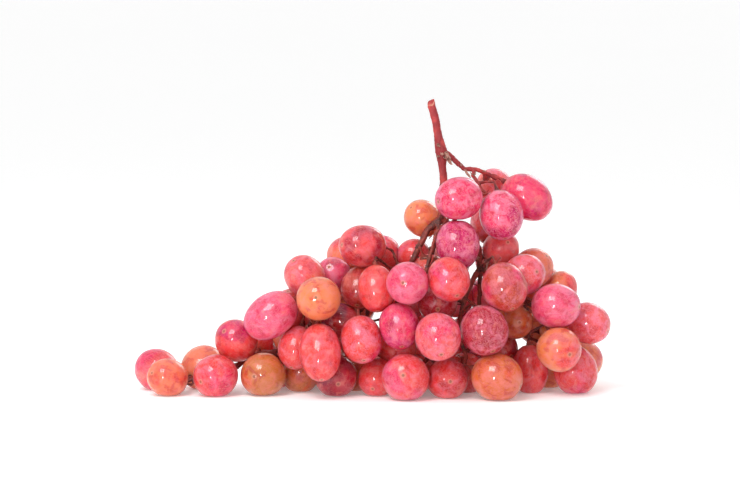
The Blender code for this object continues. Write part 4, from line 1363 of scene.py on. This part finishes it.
scraps = [
    lay_scrap((38.2, 4.0, 121.5), (0.22, -0.15, -1.0), (0.35, -1.0, 0.0), 9.5, 3.4, 1.1, 1.0),
    lay_scrap((37.6, 3.5, 119.0), (0.5, -0.4, -1.0), (0.8, -1.0, 0.2), 5.0, 2.6, 2.4, 2.0),
    lay_scrap((34.2, 3.0, 124.0), (-0.3, -0.5, 1.0), (-0.3, -1.0, 0.0), 3.2, 2.4, 0.9, 3.0),
    lay_scrap((35.4, 3.0, 121.0), (0.1, -0.6, -1.0), (0.1, -1.0, -0.2), 3.0, 2.6, 1.2, 4.0),
    lay_scrap((33.6, 4.0, 119.5), (-0.6, -0.5, -0.8), (-0.4, -1.0, 0.0), 2.8, 2.2, 1.3, 5.0),
    lay_scrap((47.0, 5.0, 112.0), (0.45, -0.3, -1.0), (0.4, -1.0, 0.0), 6.5, 1.9, 0.9, 6.0),
    lay_scrap((46.0, 5.0, 114.5), (-0.7, -0.3, 0.6), (0.2, -1.0, 0.4), 2.6, 1.6, 1.4, 7.0),
    lay_scrap((50.0, 5.0, 110.5), (0.3, -0.6, -1.0), (0.9, -0.6, 0.3), 4.4, 0.8, 3.6, 8.0),
    lay_scrap((52.5, 5.0, 110.5), (0.2, -0.8, -0.8), (-0.9, -0.5, 0.3), 3.8, 0.7, 3.2, 9.0),
    lay_scrap((57.5, 4.0, 111.0), (0.1, -0.7, 1.0), (0.8, -0.8, 0.0), 2.4, 0.9, 2.2, 10.0),
]
chance = np.random.default_rng(21)
on_twigs = np.flatnonzero(wood_points[:, 2] < STALK_FROM)
for number in range(LOOSE_SCRAPS):
    chosen = int(chance.choice(on_twigs))
    facing = stem_wood.vertices[chosen].normal
    sideways = facing.cross(Vector(chance.normal(size=3)))
    length, width = chance.uniform(*LOOSE_LENGTHS), chance.uniform(*LOOSE_WIDTHS)
    along = sideways.normalized() + facing * 0.5
    curl = chance.uniform(*LOOSE_CURLS)
    spot = wood_points[chosen] / MM
    scraps.append(lay_scrap(spot, along, facing, length, width, curl, LOOSE_SEED + number))
scrap_piece = join_meshes("stem_scraps", scraps)
pieces.append((scrap_piece, "stem", "stem"))
print("scraps:", len(scraps), "with", len(scrap_piece.data.polygons), "faces")

# %% [markdown]
# ## Thinning the wood
#
# The melted wood has far more faces than a piece should carry. A coarser voxel would have lost
# its fine bark. A decimation takes faces away where the wood is even and leaves them where it is
# rough. It comes last, because the warts and the scraps were laid on the full wood.

# %% The stem's other pieces
WOOD_KEPT = 0.48  # the share of the wood's faces that is enough to hold its bark
stem_wood = evaluated_mesh(stem_wood, [("DECIMATE", {"ratio": WOOD_KEPT})])
print("stem wood thinned to", len(stem_wood.polygons), "faces")
for name, mesh in (("stem_wood", stem_wood), ("stem_collars", collars), ("stem_sprouts", sprouts)):
    piece = bpy.data.objects.new(name, mesh)
    scene.collection.objects.link(piece)
    pieces.append((piece, "stem", "stem"))

# %% [markdown]
# ## Handing the fruit to the frame
#
# Every finished piece now takes the place of the frame's solid that it was grown on. It rides on
# the bunch's one body, and the frame's solid is hidden.

# %% Hand the pieces to the frame
for piece, slot, name in pieces:
    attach(piece, "root")
    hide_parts(name)
